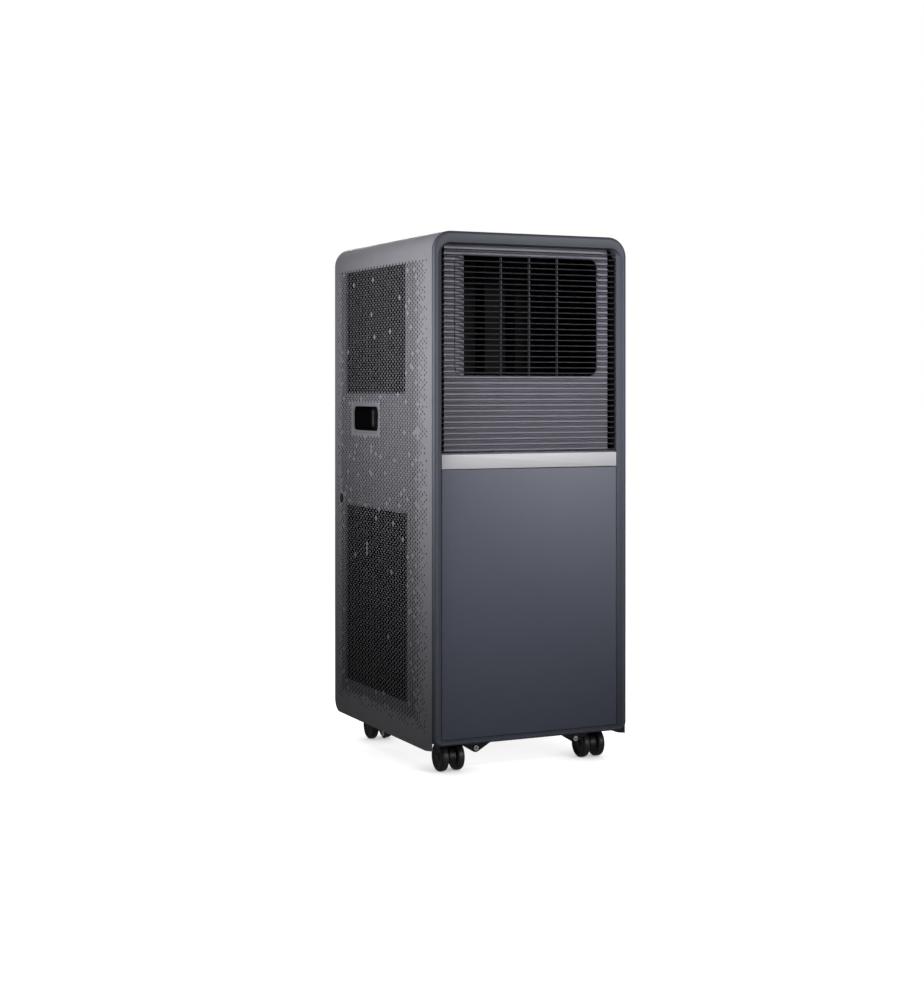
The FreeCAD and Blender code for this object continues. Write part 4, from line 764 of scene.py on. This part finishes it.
def filter_screen(node):
    """Frame with three panes of net, and a grip tab that stands out at the rear."""
    low, high = mm_box(node)
    tab_start = 142.0
    frame_bar = 8.0
    pane_gap = 4.0
    panes = 3
    length = (tab_start - low.y - 2 * frame_bar - (panes - 1) * pane_gap) / panes
    openings = []
    for number in range(panes):
        start = low.y + frame_bar + number * (length + pane_gap)
        openings.append(rounded_rect(start, start + length, low.z + frame_bar, high.z - frame_bar, 3.0, 4))
    piece = Piece()
    outline = rounded_rect(low.y, tab_start, low.z, high.z, 3.0, 4)
    piece.plate(outline, openings, "X", low.x + 0.1, high.x - 0.1)
    x, _, tab = (low + high) / 2
    piece.block((low.x, high.x), (tab_start - 1.0, high.y), span(tab, 15.0), 0.8)
    for k in range(5):
        z = tab - 8.0 + 4.0 * k
        piece.block((low.x + 0.6, high.x - 0.6), (high.y - 8.0, high.y - 0.02), span(z, 0.6), 0.3)
    piece.material = 1
    piece.block(span(x, 0.3), (low.y + 4.0, tab_start - 4.0), (low.z + 4.0, high.z - 4.0), 0.1)
    mesh_y = (low.y + 6.0, tab_start - 6.0)
    mesh_z = (low.z + 6.0, high.z - 6.0)
    for k in range(int((mesh_y[1] - mesh_y[0]) / NET_PITCH) + 1):
        y = mesh_y[0] + k * NET_PITCH
        piece.block(span(x, 0.6), span(y, 0.3), mesh_z, 0.0)
    for k in range(int((mesh_z[1] - mesh_z[0]) / NET_PITCH) + 1):
        z = mesh_z[0] + k * NET_PITCH
        piece.block(span(x, 0.7), mesh_y, span(z, 0.3), 0.0)
    piece.finish(node + "_screen", [FILTER_FRAME, NET], "filter_frame", node, body=node)


for level in ("upper", "lower"):
    for side_name in ("left", "right"):
        filter_screen("filter_%s_%s" % (level, side_name))


# -------- casters
CORNERS = ("fl", "fr", "rl", "rr")
CASTER_TRAIL = 18.0
AXLE_BORE = 2.65


def screw_head(piece, axis, centre, outward, radius, height):
    """Pan head whose cross recess is a near-black cross of painted shade; centre is on the seat and outward
    is +1 or -1 along the axis.
    """
    crown = [(0.0, radius), (0.35, radius), (0.7, radius * 0.93), (0.9, radius * 0.75), (1.0, radius * 0.45)]
    piece.material = 0
    piece.lathe(axis, centre, [(outward * height * h, r) for h, r in crown], 28)
    # The recess is not cut: a near-black cross on the head is painted shade.
    piece.material = 1
    place = "XYZ".index(axis)
    for long_axis in [k for k in range(3) if k != place]:
        spans = []
        for k in range(3):
            if k == place:
                bottom = centre[k] + outward * height * 0.5
                spans.append(sorted((bottom, centre[k] + outward * (height + 0.02))))
            else:
                half = radius * (0.5 if k == long_axis else 0.12)
                spans.append((centre[k] - half, centre[k] + half))
        piece.block(*spans, 0.0)
    piece.material = 0


def caster_wheel(node, side):
    """Wheel with a dished outer face; side is the way that face looks along X."""
    low, high = mm_box(node)
    radius = (high.y - low.y) / 2
    half = (high.x - low.x) / 2
    outside = [(-half + 0.3, 4.6), (-half + 0.6, 5.2), (-half + 1.5, 5.9), (-half + 1.3, 12.6),
               (-half + 0.5, 14.0), (-half, 14.8), (-half, radius - 3.4)]
    tread = [(-half + 0.1, radius - 2.6), (-half + 0.6, radius - 1.2), (-half + 1.7, radius - 0.35),
             (-half + 3.2, radius - 0.06), (0.0, radius)]
    inside = [(half, radius - 3.6), (half, 4.0), (half - 0.4, AXLE_BORE), (half - 10.0, AXLE_BORE)]
    profile = outside + tread + [(-a, r) for a, r in tread[-2::-1]] + inside
    piece = Piece()
    piece.lathe("X", (low + high) / 2, [(-side * a, r) for a, r in profile], 56)
    piece.finish(node + "_tread", TREAD, "caster_tread", node, body=node)


def caster_fork(node, axle_y, axle_z):
    """Hood over the axle, swivel plate, stem and axle pin."""
    low, high = mm_box(node)
    x = (low.x + high.x) / 2
    y = axle_y + CASTER_TRAIL
    piece = Piece()
    piece.extrude(arc(axle_y, axle_z, 16.5, -26, 206, 32), "X", x - 5.5, x + 5.5, 1.2, 3)
    piece.block(span(x, 5.5), (axle_y, y + 10.0), (axle_z + 6.0, 40.4), 1.5, 3)
    piece.lathe("Z", (x, y, 0.0), [(39.0, 9.4), (39.6, 10.0), (42.2, 10.0), (42.6, 9.5)])
    piece.material = 1
    piece.lathe("Z", (x, y, 0.0), [(42.0, 4.5), (high.z - 0.6, 4.5), (high.z, 3.9)], 32)
    piece.lathe("X", (x, axle_y, axle_z), [(-16.2, 2.1), (-15.8, 2.5), (15.8, 2.5), (16.2, 2.1)], 28)
    piece.finish(node + "_hood", [CASTER, ZINC], "caster_plastic", node, body=node)


def casters():
    for corner in CORNERS:
        for letter, side in (("a", -1), ("b", 1)):
            wheel = "caster_wheel_%s_%s" % (corner, letter)
            caster_wheel(wheel, side)
        low, high = mm_box(wheel)
        caster_fork("caster_fork_" + corner, (low.y + high.y) / 2, (low.z + high.z) / 2)


casters()


# -------- rear
rear_low, rear_high = mm_box("rear_panel")
collar_low, collar_high = mm_box("exhaust_collar")
gland_low, gland_high = mm_box("cable_gland")
drain_low, drain_high = mm_box("rear_drain_plug")
REAR_FACE = rear_high.y
GLAND = (gland_low + gland_high) / 2
DRAIN = (drain_low + drain_high) / 2
EXHAUST_Z = (collar_low.z + collar_high.z) / 2
EXHAUST_RADIUS = 75.0
COLLAR_OUTER = EXHAUST_RADIUS + 3.0
LOUVRE_X = (25.0, 125.0)
LOUVRE_Z = [FOOT + 508.0 + 12.0 * k for k in range(14)]
REAR_SCREWS = [(x, FOOT + z) for x in (-146.4, 146.4) for z in (30.0, 360.0, 460.0)]
REAR_SCREWS += [(x, TOP - 7.0) for x in (-90.0, 90.0)]


def rear_outline():
    """Outline of the rear sheet, notched where the four filters slide out."""
    right = [(rear_high.x, rear_low.z)]
    for level in ("lower", "upper"):
        low, high = mm_box("filter_%s_right" % level)
        notch = low.x - 1.0
        right += [(rear_high.x, low.z - 1.0), (notch, low.z - 1.0), (notch, high.z + 1.0),
                  (rear_high.x, high.z + 1.0)]
    radius = TOP_RADIUS - SHEET
    right += arc(rear_high.x - radius, rear_high.z - radius, radius, 0, 90, 8)
    return right + [(-x, z) for x, z in reversed(right)]


def rear_sheet():
    """Rear cover with pressed louvre hoods over the slots."""
    openings = [rounded_rect(*LOUVRE_X, z, z + 4.5, 2.2, 4) for z in LOUVRE_Z]
    openings.append(ring_outline(0.0, EXHAUST_Z, COLLAR_OUTER, 64))
    openings.append(ring_outline(DRAIN.x, DRAIN.z, 9.0, 32))
    openings.append(ring_outline(GLAND.x, GLAND.z, 7.0, 32))
    piece = Piece()
    piece.plate(rear_outline(), openings, "Y", rear_low.y, REAR_FACE)
    hood = [(0.9, 4.2), (1.8, 2.8), (2.3, 0.8), (3.0, 0.9), (2.6, 3.4), (1.5, 5.2), (-0.2, 5.9), (-0.2, 4.7)]
    for z in LOUVRE_Z:
        section = [(REAR_FACE + out, z + up) for out, up in hood]
        piece.extrude(section, "X", LOUVRE_X[0] - 2.0, LOUVRE_X[1] + 2.0, 0.2, 1)
    piece.finish("rear_sheet", BLACK_PLASTIC, "cabinet_sheet", "rear_panel")
    screws = Piece()
    for x, z in REAR_SCREWS:
        screw_head(screws, "Y", (x, REAR_FACE, z), 1, 3.4, 2.2)
    screws.finish("rear_screw_heads", [SCREW_ZINC_AND_GLINT, BLACK_AND_SHADE], "zinc_steel", "rear_screws")


def exhaust_collar():
    """Hose collar with a flange, a bead at its mouth and a finger guard of rings and spokes."""
    piece = Piece()
    face = REAR_FACE
    inside = collar_low.y
    mouth = collar_high.y
    flange = (collar_high.z - collar_low.z) / 2
    tube = EXHAUST_RADIUS
    outer = COLLAR_OUTER
    profile = [(inside, tube - 2.5), (inside, tube + 0.9), (inside + 2.5, tube + 1.0),
               (inside + 2.6, outer - 0.1), (face + 0.05, outer), (face + 0.1, flange - 0.6),
               (face + 0.7, flange), (face + 2.3, flange), (face + 2.9, flange - 0.6),
               (face + 3.0, outer + 1.0), (face + 3.8, outer + 0.1), (mouth - 3.4, outer),
               (mouth - 2.9, outer + 0.9), (mouth - 1.4, outer + 1.0), (mouth - 0.5, outer),
               (mouth, outer - 0.9), (mouth, tube + 0.9), (mouth - 0.8, tube), (inside + 2.5, tube),
               (inside + 2.4, tube - 2.5)]
    centre = (0.0, 0.0, EXHAUST_Z)
    piece.lathe("Y", centre, profile, 96, closed=True)
    guard = [(0.0, 0.6), (0.6, 0.0), (1.9, 0.0), (2.5, 0.6), (2.5, 2.4), (1.9, 3.0), (0.6, 3.0), (0.0, 2.4)]
    for radius in (20.0, 45.0):
        piece.lathe("Y", centre, [(inside + along, radius + out) for along, out in guard], 72, closed=True)
    spoke = rounded_rect(-1.75, 1.75, 21.0, tube - 1.0, 1.0, 2)
    for number in range(6):
        cos = math.cos(math.pi / 3 * number)
        sin = math.sin(math.pi / 3 * number)
        outline = [(u * cos - v * sin, EXHAUST_Z + u * sin + v * cos) for u, v in spoke]
        piece.extrude(outline, "Y", inside + 0.1, inside + 2.4, 0.5)
    piece.finish("exhaust_mouth", BLACK_PLASTIC, "black_plastic", "exhaust_collar")


def rear_fittings():
    """The lead's bushing and the drain plug with its finger grip."""
    face = REAR_FACE
    start, end = gland_low.y, gland_high.y
    profile = [(start, 4.4), (start, 6.4), (start + 0.6, 7.0), (face, 7.0), (face, 9.4), (face + 0.6, 10.0),
               (face + 2.2, 10.0), (face + 3.0, 9.2), (face + 3.0, 7.0)]
    for k in range(3):
        groove = face + 3.6 + 2.4 * k
        profile += [(groove, 6.5), (groove + 1.2, 6.5), (groove + 1.3, 5.9), (groove + 1.8, 5.9)]
    profile += [(end, 5.6), (end, 4.5), (end - 0.5, 4.0), (start + 0.4, 4.0)]
    bushing = Piece()
    bushing.lathe("Y", (GLAND.x, 0.0, GLAND.z), profile, 40, closed=True)
    bushing.finish("lead_bushing", BLACK_PLASTIC, "black_plastic", "cable_gland")
    x, _, z = DRAIN
    seat = face + 3.3
    plug = Piece()
    profile = [(drain_low.y, 5.0), (drain_low.y + 1.2, 6.0), (seat, 6.0), (seat, 9.0), (seat + 0.5, 9.5),
               (seat + 4.9, 9.5), (seat + 5.7, 9.0), (seat + 6.0, 8.2)]
    plug.lathe("Y", (x, 0.0, z), profile, 48)
    plug.block(span(x, 7.0), (seat + 4.0, drain_high.y), span(z, 1.6), 0.9, 3)
    plug.finish("drain_plug", RUBBER, "rubber_black", "rear_drain_plug", body="rear_drain_plug")


rear_sheet()
exhaust_collar()
rear_fittings()


# -------- controls on the top
KEYS = ("key_power", "key_mode", "key_fan", "key_down", "key_up")


def icon(piece, kind, x, y, z):
    """Raised generic symbol on a key."""
    height = (z - 0.3, z + 0.06)

    def stroke(x0, y0, x1, y1, half=0.4):
        along = Vector((x1 - x0, y1 - y0)).normalized() * half
        across = Vector((-along.y, along.x))
        start = Vector((x + x0, y + y0)) - along
        end = Vector((x + x1, y + y1)) + along
        outline = [tuple(start - across), tuple(end - across), tuple(end + across), tuple(start + across)]
        piece.extrude(outline, "Z", *height, 0.08, 1)

    if kind == "key_power":
        points = arc(0.0, 0.0, 2.4, 125, 415, 10)
        for start, end in zip(points, points[1:]):
            stroke(*start, *end)
        stroke(0.0, 0.6, 0.0, 2.9)
    elif kind == "key_mode":
        for level in (-1.8, 0.0, 1.8):
            stroke(-2.2, level, 2.2, level)
    elif kind == "key_fan":
        for start, end in zip(*(ring_outline(0.0, 0.0, radius, 4, 0.4) for radius in (0.8, 2.6))):
            stroke(*start, *end, 0.7)
    else:
        tip = 1.4 if kind == "key_up" else -1.4
        stroke(-2.2, -tip, 0.0, tip)
        stroke(0.0, tip, 2.2, -tip)


def controls():
    """Tray with pockets, five keys and the display lens."""
    low, high = mm_box("control_fascia")
    lens_box = mm_box("display_lens")
    edge = FASCIA_FLANGE + 0.2
    openings = [box_outline("Z", lens_box, 0.15, 0.6, 2)]
    openings += [box_outline("Z", mm_box(name), 0.15, 2.6, 5) for name in KEYS]
    rim = [box_outline("Z", (low, high), -inward, 0.8, 3) for inward in (edge, edge + 2.0)]
    piece = Piece()
    piece.plate(rim[0], openings, "Z", high.z, high.z - 2.5)
    floor_top = mm_box("key_power")[0].z - 1.2
    in_by = edge + 0.5
    piece.block((low.x + in_by, high.x - in_by), (low.y + in_by, high.y - in_by), (low.z, floor_top), 0.5)
    wall_top = high.z - 2.4
    piece.loft("Z", [(rim[0], low.z), (rim[0], wall_top), (rim[1], wall_top), (rim[1], low.z)], close=True)
    piece.finish("control_tray", BLACK_PLASTIC, "black_plastic", "control_fascia")
    for name in KEYS:
        key_low, key_high = mm_box(name)
        middle = (key_low + key_high) / 2
        key = Piece()
        key.extrude(box_outline("Z", (key_low, key_high), 0.0, 2.5, 5), "Z", key_low.z, key_high.z, 0.6, 3)
        key.material = 1
        icon(key, name, middle.x, middle.y, key_high.z)
        key.finish(name + "_cap", [KEY_PLASTIC, ICON], "key_plastic", name, body=name)
    lens = Piece()
    lens.extrude(box_outline("Z", lens_box, 0.0, 0.5, 3), "Z", lens_box[0].z, lens_box[1].z, 0.3)
    lens.finish("lens", LENS, "smoked_lens", "display_lens")


controls()


# -------- base
pan_low, pan_high = mm_box("base_pan")
PAN_FLOOR = FOOT + 12.0
PAN_TOP = PAN_FLOOR + 3.0
TAB_X = 79.0
TAB_SIDE = 149.4


def tab_outline(middle, tip):
    """V-shaped tab that hangs from the floor of the tray."""
    root = PAN_FLOOR + 1.0
    return [(middle - 2.0, tip), (middle + 2.0, tip), (middle + 5.0, tip + 1.5), (middle + 32.0, root),
            (middle - 32.0, root), (middle - 5.0, tip + 1.5)]


def base():
    """Tray with caster sockets, stiffening ribs below and four screw tabs."""
    sheet_rear = rear_low.y - 3.0
    sockets = []
    for corner in CORNERS:
        low, high = mm_box("caster_fork_" + corner)
        sockets.append(((low.x + high.x) / 2, math.copysign(127.0, low.y + high.y)))
    rim = [rounded_rect(inward - INSIDE, INSIDE - inward, pan_low.y + inward, sheet_rear - inward, 1.0, 3)
           for inward in (0.0, 0.3, 2.2, 2.5)]
    piece = Piece()
    piece.plate(rim[0], [ring_outline(x, y, 4.6, 24) for x, y in sockets], "Z", PAN_FLOOR, PAN_TOP)
    foot, shoulder, top = PAN_TOP - 0.5, PAN_TOP + 24.6, PAN_TOP + 25.0
    wall = ((0, foot), (0, shoulder), (1, top), (2, top), (3, shoulder), (3, foot))
    piece.loft("Z", [(rim[k], z) for k, z in wall], close=True)
    collar = [(-0.2, 4.6), (-0.2, 12.0), (1.0, 11.0), (17.4, 11.0), (18.0, 10.4), (18.0, 4.6)]
    bead = [(-0.3, 11.5), (-0.3, 14.5), (0.5, 15.0), (0.5, 11.0)]
    for x, y in sockets:
        piece.lathe("Z", (x, y, PAN_TOP), collar, 32, closed=True)
        piece.lathe("Z", (x, y, PAN_FLOOR), bead, 32, closed=True)
    rib_z = (PAN_FLOOR - 4.0, PAN_FLOOR + 0.5)
    for x in (-60.0, -20.0, 20.0, 60.0):
        piece.block(span(x, 1.0), (-95.0, 95.0), rib_z, 0.4)
    for y in (-95.0, -32.0, 32.0, 95.0):
        piece.block((-61.0, 61.0), span(y, 1.0), rib_z, 0.4)
    for x in (-TAB_X, TAB_X):
        piece.extrude(tab_outline(x, FOOT - 4.5), "Y", pan_low.y, pan_low.y + 2.0, 0.5)
    for side in (-1, 1):
        across = sorted((side * TAB_SIDE, side * (TAB_SIDE - 2.0)))
        piece.extrude(tab_outline(0.0, FOOT - 9.0), "X", *across, 0.5)
    spout = [(sheet_rear - 14.0, 6.1), (sheet_rear - 14.0, 9.0), (pan_high.y - 0.4, 9.0), (pan_high.y, 8.6),
             (pan_high.y, 6.4), (pan_high.y - 0.3, 6.1)]
    piece.lathe("Y", (DRAIN.x, 0.0, DRAIN.z), spout, 40, closed=True)
    piece.finish("base_tray", BLACK_PLASTIC, "black_plastic", "base_pan")
    screws = Piece()
    for x in (-TAB_X, TAB_X):
        screw_head(screws, "Y", (x, pan_low.y, FOOT + 1.5), -1, 3.8, 2.4)
    for side in (-1, 1):
        screw_head(screws, "X", (side * TAB_SIDE, 0.0, FOOT - 2.0), side, 3.8, 1.8)
    screws.finish("tab_screw_heads", [SCREW_ZINC_AND_GLINT, BLACK_AND_SHADE], "zinc_steel", "base_screws")


base()


# -------- carried-over nodes
CAD_FINISHES = {
    BLACK_AND_SHADE: ["vane_link", "vane_motor", "filter_rails", "mid_deck"],
    ZINC: ["control_box"],
    RUBBER: ["compressor_feet"],
    FINS: ["evaporator_coil", "condenser_coil"],
    ENAMEL: ["compressor"],
    COPPER: ["refrigerant_lines"],
    BLOWER_PLASTIC: ["evaporator_scroll", "condenser_scroll", "evaporator_wheel", "condenser_wheel"],
    STEEL_DARK: ["evaporator_motor", "condenser_motor"],
}
for paint, node_names in CAD_FINISHES.items():
    for node_name in node_names:
        node = frame["nodes"][node_name]
        node.data.materials.clear()
        node.data.materials.append(paint)


# -------- floor, light and camera
WHITE = (1.0, 1.0, 1.0, 1.0)


def floor():
    """White glowing ground with a painted contact shadow: its glow darkens a little where the casters stand
    on it.
    """
    mesh = bpy.data.meshes.new("floor")
    corners = [(-6.0, -6.0, 0.0), (6.0, -6.0, 0.0), (6.0, 6.0, 0.0), (-6.0, 6.0, 0.0)]
    mesh.from_pydata(corners, [], [(0, 1, 2, 3)])
    made = add_object("floor", mesh)
    paint = bpy.data.materials.new("floor_white")
    paint.use_nodes = True
    nodes = paint.node_tree.nodes
    shader = nodes["Principled BSDF"]
    assign(shader, {"Base Color": (0.9, 0.9, 0.9, 1.0), "Roughness": 1.0, "Specular IOR Level": 0.0,
                    "Emission Color": WHITE})
    # Painted contact shadow: ambient occlusion dims the glow where the machine comes close.
    contact = nodes.new("ShaderNodeAmbientOcclusion")
    contact.samples = 8
    assign(contact, {"Distance": 0.045})
    level = nodes.new("ShaderNodeMapRange")
    assign(level, {"To Min": 0.3, "To Max": 0.95})
    paint.node_tree.links.new(contact.outputs["AO"], level.inputs["Value"])
    paint.node_tree.links.new(level.outputs["Result"], shader.inputs["Emission Strength"])
    mesh.materials.append(paint)
    made.visible_diffuse = False
    made.visible_glossy = False


def area_light(name, place, target, size, power, spread):
    """Rectangular light; place, target and size in metres, spread in degrees."""
    data = bpy.data.lights.new(name, "AREA")
    data.shape = "RECTANGLE"
    data.size, data.size_y = size
    data.energy = power
    data.spread = math.radians(spread)
    made = add_object(name, data)
    made.location = place
    made.rotation_euler = (Vector(target) - Vector(place)).to_track_quat("-Z", "Y").to_euler()
    made.visible_camera = False


def world():
    """Faint even light on the object, and a white background for the camera."""
    made = bpy.data.worlds.new("studio")
    bpy.context.scene.world = made
    made.use_nodes = True
    nodes = made.node_tree.nodes
    link = made.node_tree.links.new
    lit = nodes["Background"]
    assign(lit, {"Color": WHITE, "Strength": 0.10})
    seen = nodes.new("ShaderNodeBackground")
    assign(seen, {"Color": WHITE, "Strength": 1.0})
    path = nodes.new("ShaderNodeLightPath")
    mix = nodes.new("ShaderNodeMixShader")
    link(path.outputs["Is Camera Ray"], mix.inputs["Fac"])
    link(lit.outputs["Background"], mix.inputs[1])
    link(seen.outputs["Background"], mix.inputs[2])
    link(mix.outputs["Shader"], nodes["World Output"].inputs["Surface"])


def camera():
    """Camera solved from the cabinet's edges in the photo."""
    data = bpy.data.cameras.new("camera")
    data.lens = 63.07
    data.sensor_width = 36.0
    data.shift_y = -0.1108
    data.clip_end = 50.0
    made = add_object("camera", data)
    made.location = (-1.1412, -2.3677, 0.5328)
    made.rotation_euler = (math.radians(90.0), 0.0, math.radians(-25.3))
    bpy.context.scene.camera = made


floor()
world()
camera()
area_light("key_right", (0.72, -1.50, 1.10), (0.0, -0.186, 0.50), (0.25, 0.14), 0.95, 38.0)
area_light("front_right", (0.68, -1.60, 0.50), (0.0, -0.186, 0.28), (1.3, 0.5), 0.75, 55.0)
area_light("side_left", (-1.55, -0.46, 0.63), (-0.153, -0.24, 0.63), (0.7, 0.5), 1.85, 36.0)
area_light("rear", (0.6, 2.0, 0.9), (0.0, 0.186, 0.5), (1.2, 0.8), 7.0, 70.0)
bpy.context.scene.view_settings.view_transform = "Standard"
